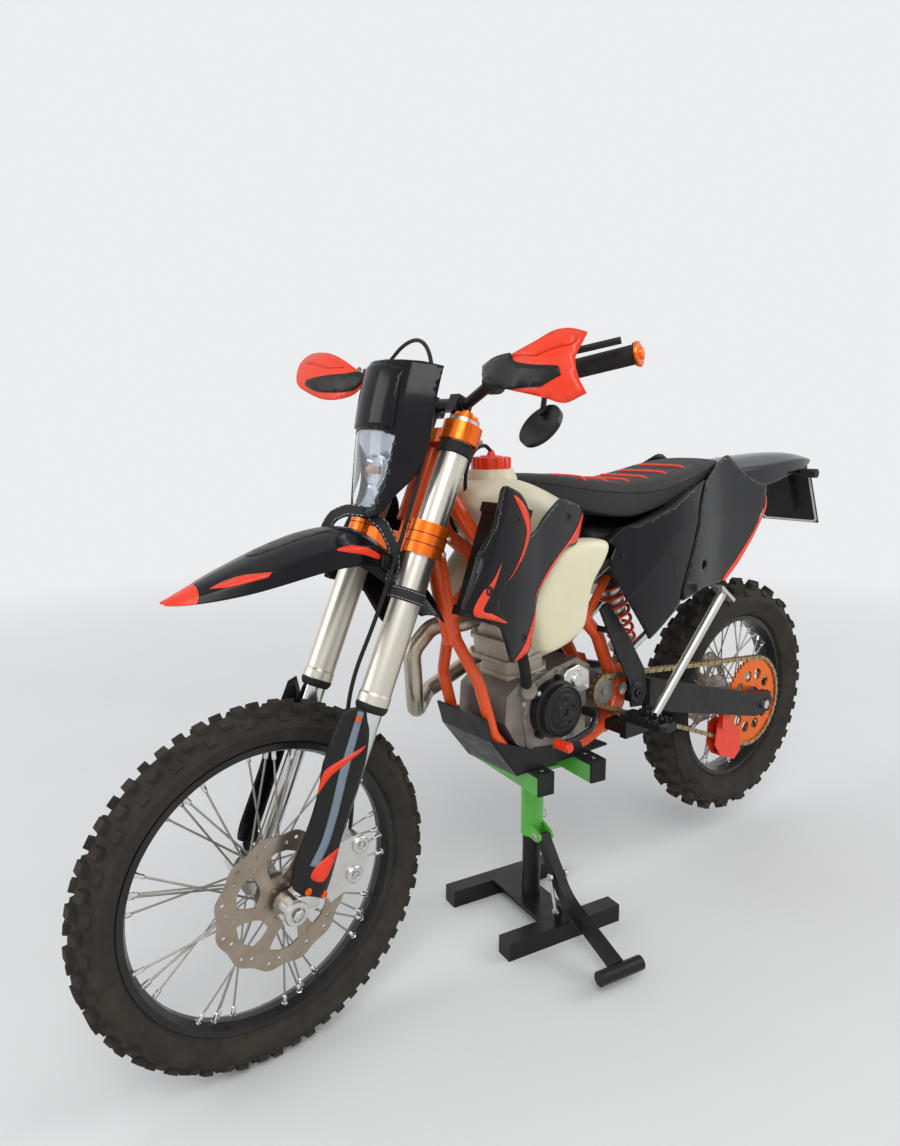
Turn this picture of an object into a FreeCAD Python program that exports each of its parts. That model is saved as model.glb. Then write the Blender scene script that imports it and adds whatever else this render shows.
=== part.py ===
# Enduro motorcycle on its lift stand, as separate pieces in their real places.
# Millimetres. X forward, Y to the rider's left, Z up, ground at Z = 0.
# Pieces of the chassis are drawn in stations: x from the rear axle, z from the ground.
import FreeCAD, Part
import Sketcher
import math
import os

V = FreeCAD.Vector
doc = FreeCAD.newDocument("EnduroMotorcycle")

# Driving dimensions. Each name is an alias in the sheet.
SIZES = [
    # wheels and stance
    ("wheelbase", 1480), ("front_radius", 350), ("rear_radius", 343), ("rear_lift", 77),
    ("front_rim_radius", 276), ("rear_rim_radius", 237),
    ("front_tyre_half", 44), ("rear_tyre_half", 65),
    ("front_lug", 13), ("rear_lug", 17), ("front_rim_half", 24), ("rear_rim_half", 34),
    ("rim_depth", 16), ("spoke_radius", 2.0),
    ("front_hub_radius", 27), ("rear_hub_radius", 34), ("hub_bore", 12.06),
    ("front_axle_radius", 12), ("rear_axle_radius", 12),
    ("front_disc_radius", 130), ("rear_disc_radius", 110), ("disc_thick", 3.5),
    ("front_disc_side", 72), ("rear_disc_side", 74),
    # steering head and fork
    ("rake", 23.2), ("clamp_offset", 22), ("lug_offset", 32), ("fork_side", 102),
    ("slider_radius", 24), ("tube_radius", 29), ("tube_low", 377), ("tube_top", 938),
    ("lower_clamp_low", 668), ("lower_clamp_thick", 62), ("upper_clamp_low", 893),
    ("upper_clamp_thick", 36), ("stem_radius", 14), ("head_radius", 26), ("head_bore", 14.06),
    ("bar_height", 982), ("bar_radius", 14.3), ("bar_end_radius", 11), ("grip_radius", 17),
    ("grip_long", 118),
    # chassis
    ("pivot_x", 564), ("pivot_z", 566), ("pivot_radius", 10), ("beam_side", 92), ("beam_radius", 16),
    ("cradle_side", 66), ("cradle_radius", 13), ("downtube_radius", 21),
    ("chain_side", 84), ("chain_pitch", 15.875), ("rear_teeth", 50), ("front_teeth", 14),
    ("shaft_x", 642), ("shaft_z", 577), ("chain_half", 9), ("sprocket_thick", 6),
    ("arm_side", 108), ("arm_thick", 26),
    # engine and body
    ("crank_x", 815), ("crank_z", 573), ("case_half", 78), ("cover_radius", 66),
    ("skid_low", 436), ("skid_thick", 5), ("skin", 3.5), ("seat_gap", 0.3),
    ("frame_low_side", 58), ("plate_thick", 16),
    # lift stand
    ("stand_x", 757), ("stand_side", -30), ("stand_yaw", 8.8), ("stand_gap", 0.3),
    ("bar_long", 300), ("stand_bar", 42),
    ("bar_pitch", 148), ("pad_thick", 10), ("foot_long", 322), ("foot_square", 43),
    ("foot_pitch", 248), ("mast_outer", 27.5), ("mast_inner", 22.5),
]


class Size:
    """A size with its value and the formula that gives it from the sheet."""

    def __init__(self, value, text):
        self.value = float(value)
        self.text = text

    def __float__(self):
        return self.value

    def join(self, sign, other, value):
        return Size(value, "(%s %s %s)" % (self.text, sign, text_of(other)))

    def __add__(self, other):
        return self.join("+", other, self.value + float(other))

    def __sub__(self, other):
        return self.join("-", other, self.value - float(other))

    def __mul__(self, other):
        return self.join("*", other, self.value * float(other))

    def __truediv__(self, other):
        return self.join("/", other, self.value / float(other))

    def __neg__(self):
        return Size(-self.value, "(0 - %s)" % self.text)

    def __radd__(self, other):
        return self + other

    def __rmul__(self, other):
        return self * other

    def __rsub__(self, other):
        return -self + other


def text_of(number):
    return number.text if isinstance(number, Size) else repr(float(number))


def sine(angle):
    return Size(math.sin(math.radians(float(angle))), "sin(%s)" % text_of(angle))


def cosine(angle):
    return Size(math.cos(math.radians(float(angle))), "cos(%s)" % text_of(angle))


sheet = doc.addObject("Spreadsheet::Sheet", "Sizes")
S = {}
for row, (alias, value) in enumerate(SIZES, 1):
    sheet.set("A%d" % row, alias)
    sheet.set("B%d" % row, str(value))
    sheet.setAlias("B%d" % row, alias)
    S[alias] = Size(value, "Sizes.%s" % alias)
doc.recompute()

# Places that follow from the driving dimensions.
front_axle_z = S["front_radius"]
rear_axle_z = S["rear_radius"] + S["rear_lift"]
middle_x = (S["wheelbase"] + S["front_radius"] - S["rear_radius"]) / 2
axle_offset = S["clamp_offset"] + S["lug_offset"]
steer_x = S["wheelbase"] - axle_offset * cosine(S["rake"])
steer_z = front_axle_z - axle_offset * sine(S["rake"])


def bind(item, name, size):
    """Set a property to a number, or tie it to the sheet."""
    if isinstance(size, Size):
        item.setExpression(name, size.text)
    else:
        setattr(item, name, size)


def place(item, x=0, y=0, z=0, turn=0, axis=(0, 1, 0)):
    """Put an object at a point, turned about an axis through it."""
    spin = FreeCAD.Rotation(V(*axis), float(turn))
    item.Placement = FreeCAD.Placement(V(float(x), float(y), float(z)), spin)
    for letter, size in (("x", x), ("y", y), ("z", z)):
        if isinstance(size, Size):
            item.setExpression(".Placement.Base." + letter, size.text)
    if isinstance(turn, Size) and turn.value > 0:
        item.setExpression(".Placement.Rotation.Angle", turn.text)
    return item


def body(name):
    return doc.addObject("PartDesign::Body", name)


def outline(owner, plane, points, offset=0):
    """A closed sketch. A point is (u, v), or (u, v, r) where an arc of radius r leaves it.

    A positive r bulges to the right of the way to the next point.
    """
    sketch = owner.newObject("Sketcher::SketchObject", owner.Name + "Outline")
    base = [f for f in owner.Origin.OriginFeatures if f.Role == plane][0]
    sketch.AttachmentSupport = (base, [""])
    sketch.MapMode = "FlatFace"
    if float(offset):
        sketch.AttachmentOffset = FreeCAD.Placement(V(0, 0, float(offset)), FreeCAD.Rotation())
        if isinstance(offset, Size):
            sketch.setExpression(".AttachmentOffset.Base.z", offset.text)
    count = len(points)
    first = []
    for i, point in enumerate(points):
        after = points[(i + 1) % count]
        start = V(float(point[0]), float(point[1]), 0)
        end = V(float(after[0]), float(after[1]), 0)
        if len(point) == 3:
            edge = Part.Arc(start, arc_middle(start, end, float(point[2])), end)
        else:
            edge = Part.LineSegment(start, end)
        sketch.addGeometry(edge, False)
        first.append(1 if (sketch.getPoint(i, 1) - start).Length < 0.001 else 2)
    for i in range(count):
        after = (i + 1) % count
        sketch.addConstraint(Sketcher.Constraint("Coincident", i, 3 - first[i], after, first[after]))
    for i, point in enumerate(points):
        for kind, size in (("DistanceX", point[0]), ("DistanceY", point[1])):
            number = sketch.addConstraint(Sketcher.Constraint(kind, i, first[i], float(size)))
            if isinstance(size, Size):
                sketch.setExpression("Constraints[%d]" % number, size.text)
        if len(point) == 3:
            sketch.addConstraint(Sketcher.Constraint("Radius", i, abs(float(point[2]))))
    return sketch


def arc_middle(start, end, radius):
    chord = end - start
    half = chord.Length / 2
    rise = abs(radius) - math.sqrt(max(radius * radius - half * half, 0))
    side = V(chord.y, -chord.x, 0)
    side.normalize()
    return (start + end) * 0.5 + side * (rise if radius > 0 else -rise)


def plate(name, plane, points, thick, offset=0, centred=True):
    """A flat piece: an outline and its thickness."""
    piece = body(name)
    sketch = outline(piece, plane, points, offset)
    pad = piece.newObject("PartDesign::Pad", name + "Pad")
    pad.Profile = sketch
    bind(pad, "Length", thick)
    if centred:
        pad.SideType = "Symmetric"
    return piece


def turned(name, points, plane="XY_Plane", axis="Y_Axis"):
    """A round piece: half its section, turned about an axis of the body."""
    piece = body(name)
    sketch = outline(piece, plane, points)
    turn = piece.newObject("PartDesign::Revolution", name + "Turn")
    turn.Profile = sketch
    line = [f for f in piece.Origin.OriginFeatures if f.Role == axis][0]
    turn.ReferenceAxis = (line, [""])
    turn.Angle = 360
    return piece


def cylinder(name, radius, long, x=0, y=0, z=0, along=(0, 0, 1)):
    item = doc.addObject("Part::Cylinder", name)
    bind(item, "Radius", radius)
    bind(item, "Height", long)
    spin = FreeCAD.Rotation(V(0, 0, 1), V(*along))
    return place(item, x, y, z, math.degrees(spin.Angle), tuple(spin.Axis))


def rod(name, radius, start, end):
    """A round bar between two points."""
    p = V(*[float(c) for c in start])
    q = V(*[float(c) for c in end])
    return cylinder(name, radius, (q - p).Length, *start, along=tuple(q - p))


def box(name, sizes, centre, turn=0, axis=(0, 1, 0)):
    """A block about its centre."""
    item = doc.addObject("Part::Box", name)
    for prop, size in zip(("Length", "Width", "Height"), sizes):
        bind(item, prop, size)
    spin = FreeCAD.Rotation(V(*axis), float(turn))
    half = spin.multVec(V(*[float(size) / 2 for size in sizes]))
    corner = V(*[float(c) for c in centre]) - half
    item.Placement = FreeCAD.Placement(corner, spin)
    return item


def route(points, bend):
    """Straight runs joined by tangent arcs."""
    nodes = [V(*[float(c) for c in p]) for p in points]
    edges = []
    last = nodes[0]
    for before, corner, after in zip(nodes, nodes[1:], nodes[2:]):
        u = (before - corner).normalize()
        w = (after - corner).normalize()
        half = u.getAngle(w) / 2
        reach = min(float(bend) / math.tan(half), 0.45 * (before - corner).Length,
                    0.45 * (after - corner).Length)
        radius = reach * math.tan(half)
        middle = corner + (u + w).normalize() * (radius / math.sin(half) - radius)
        first, second = corner + u * reach, corner + w * reach
        if (first - last).Length > 0.01:
            edges.append(Part.LineSegment(last, first).toShape())
        edges.append(Part.Arc(first, middle, second).toShape())
        last = second
    edges.append(Part.LineSegment(last, nodes[-1]).toShape())
    return Part.Wire(edges)


def pipe(name, radius, points, bend=60):
    """A bent round tube, drawn solid."""
    path = route(points, bend)
    edge = path.Edges[0]
    ring = Part.Wire(Part.makeCircle(float(radius), edge.valueAt(edge.FirstParameter),
                                     edge.tangentAt(edge.FirstParameter)))
    item = doc.addObject("Part::Feature", name)
    item.Shape = path.makePipeShell([ring], True, False)
    return item


def sections(name, rings):
    """A loft with flat faces through a few closed rings of points."""
    wires = [Part.makePolygon([V(*[float(c) for c in p]) for p in ring + ring[:1]]) for ring in rings]
    item = doc.addObject("Part::Feature", name)
    item.Shape = Part.makeLoft(wires, True, True)
    return item


def fuse(name, items):
    if len(items) == 1:
        return items[0]
    item = doc.addObject("Part::MultiFuse", name)
    item.Shapes = items
    return item


def cut(name, base, tool):
    item = doc.addObject("Part::Cut", name)
    item.Base = base
    item.Tool = tool
    return item


def common(name, items):
    item = doc.addObject("Part::MultiCommon", name)
    item.Shapes = items
    return item


def group(name, items):
    """Solids that don't touch, in one piece list."""
    item = doc.addObject("Part::Compound", name)
    item.Links = items
    return item


def mirrored(name, source):
    item = doc.addObject("Part::Mirroring", name)
    item.Source = source
    item.Normal = V(0, 1, 0)
    return item


def pair(name, left):
    """A left piece and its mirror image on the right."""
    return group(name, [left, mirrored(name + "Right", left)])


NODES = {}


def node(name, item, frame="bike"):
    """Name a sub-part and put its drawing frame in the row's frame."""
    if frame == "bike":
        place(item, -middle_x, 0, 0)
    elif frame == "steering":
        place(item, steer_x - middle_x, 0, steer_z, S["rake"], (0, -1, 0))
    elif frame == "front_wheel":
        place(item, S["wheelbase"] - middle_x, 0, front_axle_z)
    elif frame == "rear_wheel":
        place(item, -middle_x, 0, rear_axle_z)
    elif frame == "lift":
        place(item, S["stand_x"] - middle_x, S["stand_side"], 0, S["stand_yaw"], (0, 0, -1))
    item.Label = name
    NODES[name] = item


def steer_point(along, ahead=0, side=0):
    """A point given in the fork's frame, in stations."""
    a = math.radians(float(S["rake"]))
    x = float(steer_x) + ahead * math.cos(a) - along * math.sin(a)
    z = float(steer_z) + ahead * math.sin(a) + along * math.cos(a)
    return (x, side, z)


# Wheels, drawn about their own axle with Y along it.
def tyre(name, radius, rim_radius, half, lug, rows, count):
    """A tyre made of equal pitches, each a wedge of the carcass with its lugs.

    A row of the table: side place, half width, half length, step along the pitch, lean.
    """
    radius, rim_radius, half, lug = float(radius), float(rim_radius), float(half), float(lug)
    base = radius - lug
    bead = rim_radius - 8.7
    shoulder = base - half * 0.62
    side = [(bead, 0.44), (rim_radius + 0.3, 0.45), (rim_radius + 6, 0.66), (shoulder, 0.98),
            (base - half * 0.24, 0.8), (base, 0.3)]
    points = [V(r, -half * w, 0) for r, w in side] + [V(r, half * w, 0) for r, w in reversed(side)]
    pitch = 360 / count
    face = Part.Face(Part.makePolygon(points + points[:1]))
    face.rotate(V(0, 0, 0), V(0, 1, 0), -pitch / 4)
    wedge = face.revolve(V(0, 0, 0), V(0, 1, 0), pitch)
    lugs = [lug_shape(radius, lug, y, wide, long, lean, pitch * step) for y, wide, long, step, lean in rows]
    wedge = wedge.fuse(lugs)
    ends = [V(math.sin(math.radians(a)), 0, math.cos(math.radians(a))) for a in (-pitch / 4, pitch * 3 / 4)]
    skin_faces = [f for f in wedge.Faces
                  if not any(abs(f.CenterOfMass.dot(n)) < 0.01 and abs(f.normalAt(0, 0).dot(n)) > 0.999
                             for n in ends)]
    faces = []
    for i in range(count):
        for f in skin_faces:
            turned_face = f.copy()
            turned_face.rotate(V(0, 0, 0), V(0, 1, 0), pitch * i)
            faces.append(turned_face)
    ring = Part.Compound(faces)
    ring.sewShape()
    item = doc.addObject("Part::Feature", name)
    item.Shape = Part.Solid(ring.Shells[0])
    return item


def lug_shape(radius, lug, side, wide, long, tilt, turn):
    """One tapered lug: its foot is in the carcass, its face leans by tilt degrees."""
    reach = float(radius)
    low, high = -lug - 5, 0
    rings = []
    for level, grow in ((low, 1.12), (high, 1.0)):
        ring = [V(long * grow * a, wide * grow * b, level) for a, b in ((-1, -1), (1, -1), (1, 1), (-1, 1))]
        rings.append(Part.makePolygon(ring + ring[:1]))
    lug_solid = Part.makeLoft(rings, True, True)
    drop = abs(side) * math.tan(math.radians(abs(tilt) / 2))
    lug_solid.rotate(V(0, 0, 0), V(1, 0, 0), -math.copysign(tilt, side) if side else 0)
    lug_solid.translate(V(0, side, reach - drop - 0.5))
    lug_solid.rotate(V(0, 0, 0), V(0, 1, 0), turn + 90)
    return lug_solid


def rim(name, radius, half):
    """An open drop-centre rim."""
    deep = S["rim_depth"]
    return turned(name, [
        (radius, -half), (radius, -half + 3), (radius - 9, -half + 4), (radius - 9, -half * 0.4),
        (radius - deep, -half * 0.3), (radius - deep, half * 0.3), (radius - 9, half * 0.4),
        (radius - 9, half - 4), (radius, half - 3), (radius, half),
        (radius - 12, half), (radius - deep - 4, half * 0.3), (radius - deep - 4, -half * 0.3),
        (radius - 12, -half)])


def spokes(name, flange_radius, flange, rim_inner, count):
    """Crossed spokes: on each flange half lean one way, half the other."""
    items = []
    step = 720 / count
    for side in (-1, 1):
        for way in (-1, 1):
            for i in range(count // 4):
                foot = math.radians(2 * step * i + (step if way > 0 else 0) + (step / 2 if side > 0 else 0))
                head = foot + way * math.radians(34)
                y = side * (float(flange) + (2.6 if way > 0 else -2.6))
                r0, r1 = float(flange_radius) - 4, float(rim_inner) - 0.5
                start = V(r0 * math.cos(foot), y, r0 * math.sin(foot))
                end = V(r1 * math.cos(head), side * 7 + way * 2.6, r1 * math.sin(head))
                items.append(Part.makeCylinder(float(S["spoke_radius"]), (end - start).Length,
                                               start, end - start))
    item = doc.addObject("Part::Feature", name)
    item.Shape = Part.Compound(items)
    return item


def hub(name, radius, flange, flange_radius, ends):
    """A waisted hub with two spoke flanges and a bore for the axle."""
    bore = S["hub_bore"]
    return turned(name, [
        (bore, -ends), (radius - 6, -ends), (radius - 4, -flange - 6), (flange_radius, -flange - 5),
        (flange_radius, -flange + 5), (radius, -flange + 9), (radius, flange - 9),
        (flange_radius, flange - 5), (flange_radius, flange + 5), (radius - 4, flange + 6),
        (radius - 6, ends), (bore, ends)])


def brake_disc(name, radius, side, waves, inner):
    """A wavy disc with slots between its rim and its carrier."""
    outer = []
    for i in range(waves * 2):
        a = math.pi * i / waves
        r = radius if i % 2 == 0 else radius - 7
        outer.append((r * math.cos(a), r * math.sin(a)))
    disc = plate(name + "Plate", "XZ_Plane", outer, S["disc_thick"])
    slots = []
    for i in range(waves):
        a = math.pi * (2 * i + 1) / waves
        r = float(radius) * 0.56
        slots.append(Part.makeCylinder(float(radius) * 0.13, 20, V(r * math.cos(a), -10, r * math.sin(a)),
                                       V(0, 1, 0)))
    middle = Part.makeCylinder(float(inner), 20, V(0, -10, 0), V(0, 1, 0))
    tool = doc.addObject("Part::Feature", name + "Openings")
    tool.Shape = Part.Compound(slots + [middle])
    return place_at_side(cut(name + "Cut", disc, tool), side)


def place_at_side(item, side):
    """Move a flat wheel piece along the axle, inside its own group."""
    place(item, 0, side, 0)
    return group(item.Name + "Set", [item])


front_rows = [(0, 13, 10, 0, 0), (-24, 9, 9, 0.5, 24), (24, 9, 9, 0.5, 24),
              (-38, 7, 9, 0, 52), (38, 7, 9, 0, 52)]
rear_rows = [(-13, 11, 11, 0, 4), (13, 11, 11, 0.5, 4), (-40, 12, 12, 0.5, 26), (40, 12, 12, 0, 26),
             (-58, 8, 12, 0, 58), (58, 8, 12, 0.5, 58)]
node("front_tyre", tyre("FrontTyre", S["front_radius"], S["front_rim_radius"], S["front_tyre_half"],
                        S["front_lug"], front_rows, 30), "front_wheel")
node("rear_tyre", tyre("RearTyre", S["rear_radius"], S["rear_rim_radius"], S["rear_tyre_half"],
                       S["rear_lug"], rear_rows, 22), "rear_wheel")
node("front_rim", rim("FrontRim", S["front_rim_radius"], S["front_rim_half"]), "front_wheel")
node("rear_rim", rim("RearRim", S["rear_rim_radius"], S["rear_rim_half"]), "rear_wheel")
front_flange, rear_flange = 30, 34
front_hub = hub("FrontHub", S["front_hub_radius"], front_flange, 36, S["front_disc_side"] - 2)
rear_hub = hub("RearHub", S["rear_hub_radius"], rear_flange, 46, S["rear_disc_side"] - 2)
front_spokes = spokes("FrontSpokes", 36, front_flange, S["front_rim_radius"] - S["rim_depth"] - 4, 36)
rear_spokes = spokes("RearSpokes", 46, rear_flange, S["rear_rim_radius"] - S["rim_depth"] - 4, 36)
node("front_hub", fuse("FrontHubSpokes", [front_hub, front_spokes]), "front_wheel")
carrier_end = S["chain_side"] - S["sprocket_thick"] / 2 - 0.3
carrier = turned("SprocketCarrier", [(S["hub_bore"], 66), (58, 66), (58, carrier_end),
                                     (S["hub_bore"], carrier_end)])
node("rear_hub", fuse("RearHubSpokes", [rear_hub, carrier, rear_spokes]), "rear_wheel")
node("front_brake_disc", brake_disc("FrontDisc", S["front_disc_radius"], S["front_disc_side"], 12, 14),
     "front_wheel")
node("rear_brake_disc", brake_disc("RearDisc", S["rear_disc_radius"], -S["rear_disc_side"], 10, 14),
     "rear_wheel")

pitch_radius = S["rear_teeth"] * S["chain_pitch"] / (2 * math.pi)
shaft_radius = S["front_teeth"] * S["chain_pitch"] / (2 * math.pi)


def sprocket(name, radius, teeth, inner, holes):
    """A toothed ring with a row of round openings."""
    half = float(S["sprocket_thick"]) / 2
    points = []
    for i in range(teeth):
        for part, r in ((0.0, -4.5), (0.34, -4.5), (0.55, 3.5), (0.79, 3.5)):
            a = 2 * math.pi * (i + part) / teeth
            points.append(V((float(radius) + r) * math.cos(a), -half, (float(radius) + r) * math.sin(a)))
    ring = doc.addObject("Part::Feature", name + "Ring")
    ring.Shape = Part.Face(Part.makePolygon(points + points[:1])).extrude(V(0, 2 * half, 0))
    tools = [Part.makeCylinder(float(inner), 30, V(0, -15, 0), V(0, 1, 0))]
    for i in range(holes):
        a = 2 * math.pi * i / holes
        r = float(radius) * 0.62
        tools.append(Part.makeCylinder(float(radius) * 0.13, 30, V(r * math.cos(a), -15, r * math.sin(a)),
                                       V(0, 1, 0)))
    tool = doc.addObject("Part::Feature", name + "Openings")
    tool.Shape = Part.Compound(tools)
    return cut(name, ring, tool)


def chain_loop(half_width, r_out):
    """The chain's side outline: two sprocket arcs and two straight runs."""
    a = (0.0, float(rear_axle_z))
    b = (float(S["shaft_x"]), float(S["shaft_z"]))
    gap = math.hypot(b[0] - a[0], b[1] - a[1])
    lean = math.atan2(b[1] - a[1], b[0] - a[0])
    ra, rb = float(pitch_radius) + r_out, float(shaft_radius) + r_out
    tilt = math.acos((ra - rb) / gap)
    up, down = lean + tilt, lean - tilt

    def on(centre, radius, angle):
        return V(centre[0] + radius * math.cos(angle), -half_width, centre[1] + radius * math.sin(angle))

    mid_a, mid_b = lean + math.pi, lean
    edges = [Part.LineSegment(on(a, ra, up), on(b, rb, up)).toShape(),
             Part.Arc(on(b, rb, up), on(b, rb, mid_b), on(b, rb, down)).toShape(),
             Part.LineSegment(on(b, rb, down), on(a, ra, down)).toShape(),
             Part.Arc(on(a, ra, down), on(a, ra, mid_a), on(a, ra, up)).toShape()]
    return Part.Face(Part.Wire(edges)).extrude(V(0, 2 * half_width, 0))


def chain():
    """A channel that rides over the teeth: two rows of side plates and the rollers' bridge."""
    half = float(S["chain_half"])
    ring = chain_loop(half, 7.5).cut(chain_loop(half + 1, -6.5))
    slot = chain_loop(half - 3.5, 5.0).cut(chain_loop(half - 3.5, -9))
    item = doc.addObject("Part::Feature", "Chain")
    item.Shape = ring.cut(slot)
    return place(item, 0, S["chain_side"], 0)


node("rear_sprocket", place_at_side(sprocket("RearSprocket", pitch_radius, 50, 40, 10), S["chain_side"]),
     "rear_wheel")
node("chain", group("ChainLoop", [chain()]))
shaft_sprocket = sprocket("ShaftSprocket", shaft_radius, 14, 7, 0)
place(shaft_sprocket, S["shaft_x"], S["chain_side"], S["shaft_z"])
shaft = cylinder("OutputShaft", 9, S["chain_side"] - 42, S["shaft_x"], 50, S["shaft_z"], (0, 1, 0))
axle_long = 2 * (S["arm_side"] + S["arm_thick"] / 2 + 14)
rear_axle = cylinder("RearAxle", S["rear_axle_radius"], axle_long, 0, -axle_long / 2, rear_axle_z, (0, 1, 0))

# Front end, drawn in the fork's frame: Z up the steering axis, X ahead of it.
fork_x = S["clamp_offset"]
axle_x = axle_offset


def clamp(name, low, thick, front, waist):
    """A fork clamp: two split rings on an arm that carries the stem."""
    ring = S["tube_radius"] + 9
    arm = plate(name + "Arm", "XY_Plane", [
        (-20, -20), (-20, 20), (fork_x - 26, S["fork_side"] - 12), (fork_x + front, S["fork_side"] - 12),
        (fork_x + front - 8, 40), (fork_x + front - 8, -40), (fork_x + front, 12 - S["fork_side"]),
        (fork_x - 26, 12 - S["fork_side"])], thick * waist, 0, False)
    place(arm, 0, 0, low)
    rings = [cylinder(name + "Ring", ring, thick, fork_x, s * S["fork_side"], low) for s in (-1, 1)]
    bores = [cylinder(name + "Bore", S["tube_radius"] + 0.2, thick + 4, fork_x, s * S["fork_side"], low - 2)
             for s in (-1, 1)]
    return cut(name, fuse(name + "Solid", [arm] + rings), group(name + "Bores", bores))


stem = cylinder("Stem", S["stem_radius"], S["upper_clamp_low"] - S["lower_clamp_low"], 0, 0,
                S["lower_clamp_low"])
node("lower_clamp", fuse("LowerClampStem", [clamp("LowerClamp", S["lower_clamp_low"],
                                                  S["lower_clamp_thick"], 22, 0.62), stem]), "steering")
stem_cap = cylinder("StemCap", 17, 7, 0, 0, S["upper_clamp_low"] + S["upper_clamp_thick"] * 0.8 - 1)
node("upper_clamp", fuse("UpperClampCap", [clamp("UpperClamp", S["upper_clamp_low"],
                                                 S["upper_clamp_thick"], 18, 0.8), stem_cap]), "steering")


def fork_leg():
    """Outer tube with its cap and bottom wiper."""
    low, top, r = S["tube_low"], S["tube_top"], S["tube_radius"]
    tube = turned("ForkTube", [
        (S["slider_radius"] + 0.2, low), (r - 1, low), (r + 1.5, low + 6), (r + 1.5, low + 22), (r, low + 26),
        (r, top), (r - 4, top + 2), (r - 6, top + 2), (r - 6, top + 9), (r - 16, top + 10), (0, top + 10),
        (0, top - 20), (S["slider_radius"] + 0.2, top - 20)], "XZ_Plane", "Z_Axis")
    return place(tube, fork_x, S["fork_side"], 0)


def slider():
    """Inner tube and the cast foot that holds the axle ahead of it."""
    tube = cylinder("Slider", S["slider_radius"], S["tube_low"] + 60, fork_x, S["fork_side"], 42)
    foot = plate("ForkFoot", "XZ_Plane", [
        (fork_x - 22, 66), (fork_x - 24, 30), (fork_x - 4, 0), (axle_x - 10, -24), (axle_x + 8, -26, 24),
        (axle_x + 22, 6), (fork_x + 26, 38), (fork_x + 25, 66)], 34)
    place(foot, 0, S["fork_side"], 0)
    eye = cylinder("AxleEye", 25, 40, axle_x, S["fork_side"] - 18, 0, (0, 1, 0))
    return fuse("ForkSlider", [tube, foot, eye])


node("fork_tubes", pair("ForkTubes", fork_leg()), "steering")
front_axle_long = 2 * (S["fork_side"] + 22)
bore = cylinder("AxleBore", S["front_axle_radius"] + 0.1, front_axle_long + 20, axle_x,
                -front_axle_long / 2 - 10, 0, (0, 1, 0))
node("fork_sliders", cut("ForkSliders", pair("ForkSliderPair", slider()), bore), "steering")
front_axle = cylinder("FrontAxle", S["front_axle_radius"], front_axle_long, axle_x,
                      -front_axle_long / 2, 0, (0, 1, 0))
node("front_axle", group("FrontAxleSet", [front_axle]), "steering")


def fork_guard():
    """A shell ahead of the inner tube, wrapped to its outer side."""
    outer = plate("GuardSide", "XZ_Plane", [
        (fork_x - 30, 74), (fork_x + 34, 74), (fork_x + 52, 150), (fork_x + 58, 300), (fork_x + 44, 372),
        (fork_x - 6, 372), (fork_x - 26, 250)], 90)
    place(outer, 0, S["fork_side"] + 8, 0)
    ring = plate("GuardPlan", "XY_Plane", [
        (fork_x - 32, S["fork_side"] + 27), (fork_x + 22, S["fork_side"] + 31), (fork_x + 40, S["fork_side"] + 18),
        (fork_x + 58, S["fork_side"] + 2), (fork_x + 58, S["fork_side"] - 14), (fork_x + 53, S["fork_side"] - 14),
        (fork_x + 53, S["fork_side"]), (fork_x + 36, S["fork_side"] + 14), (fork_x + 19, S["fork_side"] + 27),
        (fork_x - 32, S["fork_side"] + 23)], 500, 0, False)
    tab = box("GuardTab", (32, 14, 24), (61, S["fork_side"] - 6, 200))
    tube_side = cylinder("GuardTubeSpace", S["slider_radius"] + 0.3, 200, fork_x, S["fork_side"], 100)
    return fuse("ForkGuardWhole", [common("ForkGuard", [outer, ring]), cut("GuardTabCut", tab, tube_side)])


node("fork_guards", pair("ForkGuards", fork_guard()), "steering")


def channel(stations, skin):
    """Rings of a bent sheet. A station is x, half width, edge z, shoulder z, ridge z."""
    rings = []
    for x, half, edge, shoulder, ridge in stations:
        top = [(-half, edge), (-half * 0.93, shoulder), (-half * 0.45, ridge - (ridge - shoulder) * 0.2),
               (half * 0.45, ridge - (ridge - shoulder) * 0.2), (half * 0.93, shoulder), (half, edge)]
        inner = [(half - skin, edge), (half * 0.93 - skin, shoulder - skin * 0.6),
                 (half * 0.45, ridge - (ridge - shoulder) * 0.2 - skin),
                 (-half * 0.45, ridge - (ridge - shoulder) * 0.2 - skin),
                 (skin - half * 0.93, shoulder - skin * 0.6), (skin - half, edge)]
        rings.append([(x, y, z) for y, z in top + inner])
    return rings


skin = float(S["skin"])
fender_stations = [(-136, 40, 564, 570, 578), (-60, 62, 600, 622, 632), (30, 70, 628, 644, 654),
                   (110, 86, 618, 650, 672), (200, 92, 572, 606, 632), (300, 88, 500, 532, 556),
                   (376, 68, 462, 478, 494), (419, 16, 442, 446, 450)]
fender = sections("FenderSheet", channel(fender_stations, skin))
openings = [cylinder("FenderNotch", S["tube_radius"] + 6, 200, fork_x, s * S["fork_side"], 540) for s in (-1, 1)]
fender_bosses = [cylinder("FenderBoss", 8, S["lower_clamp_low"] - 643.3, 20, s * 45, 643) for s in (-1, 1)]
node("front_fender", cut("FrontFender", fuse("FenderWhole", [fender] + fender_bosses),
                         group("FenderNotches", openings)), "steering")


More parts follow.
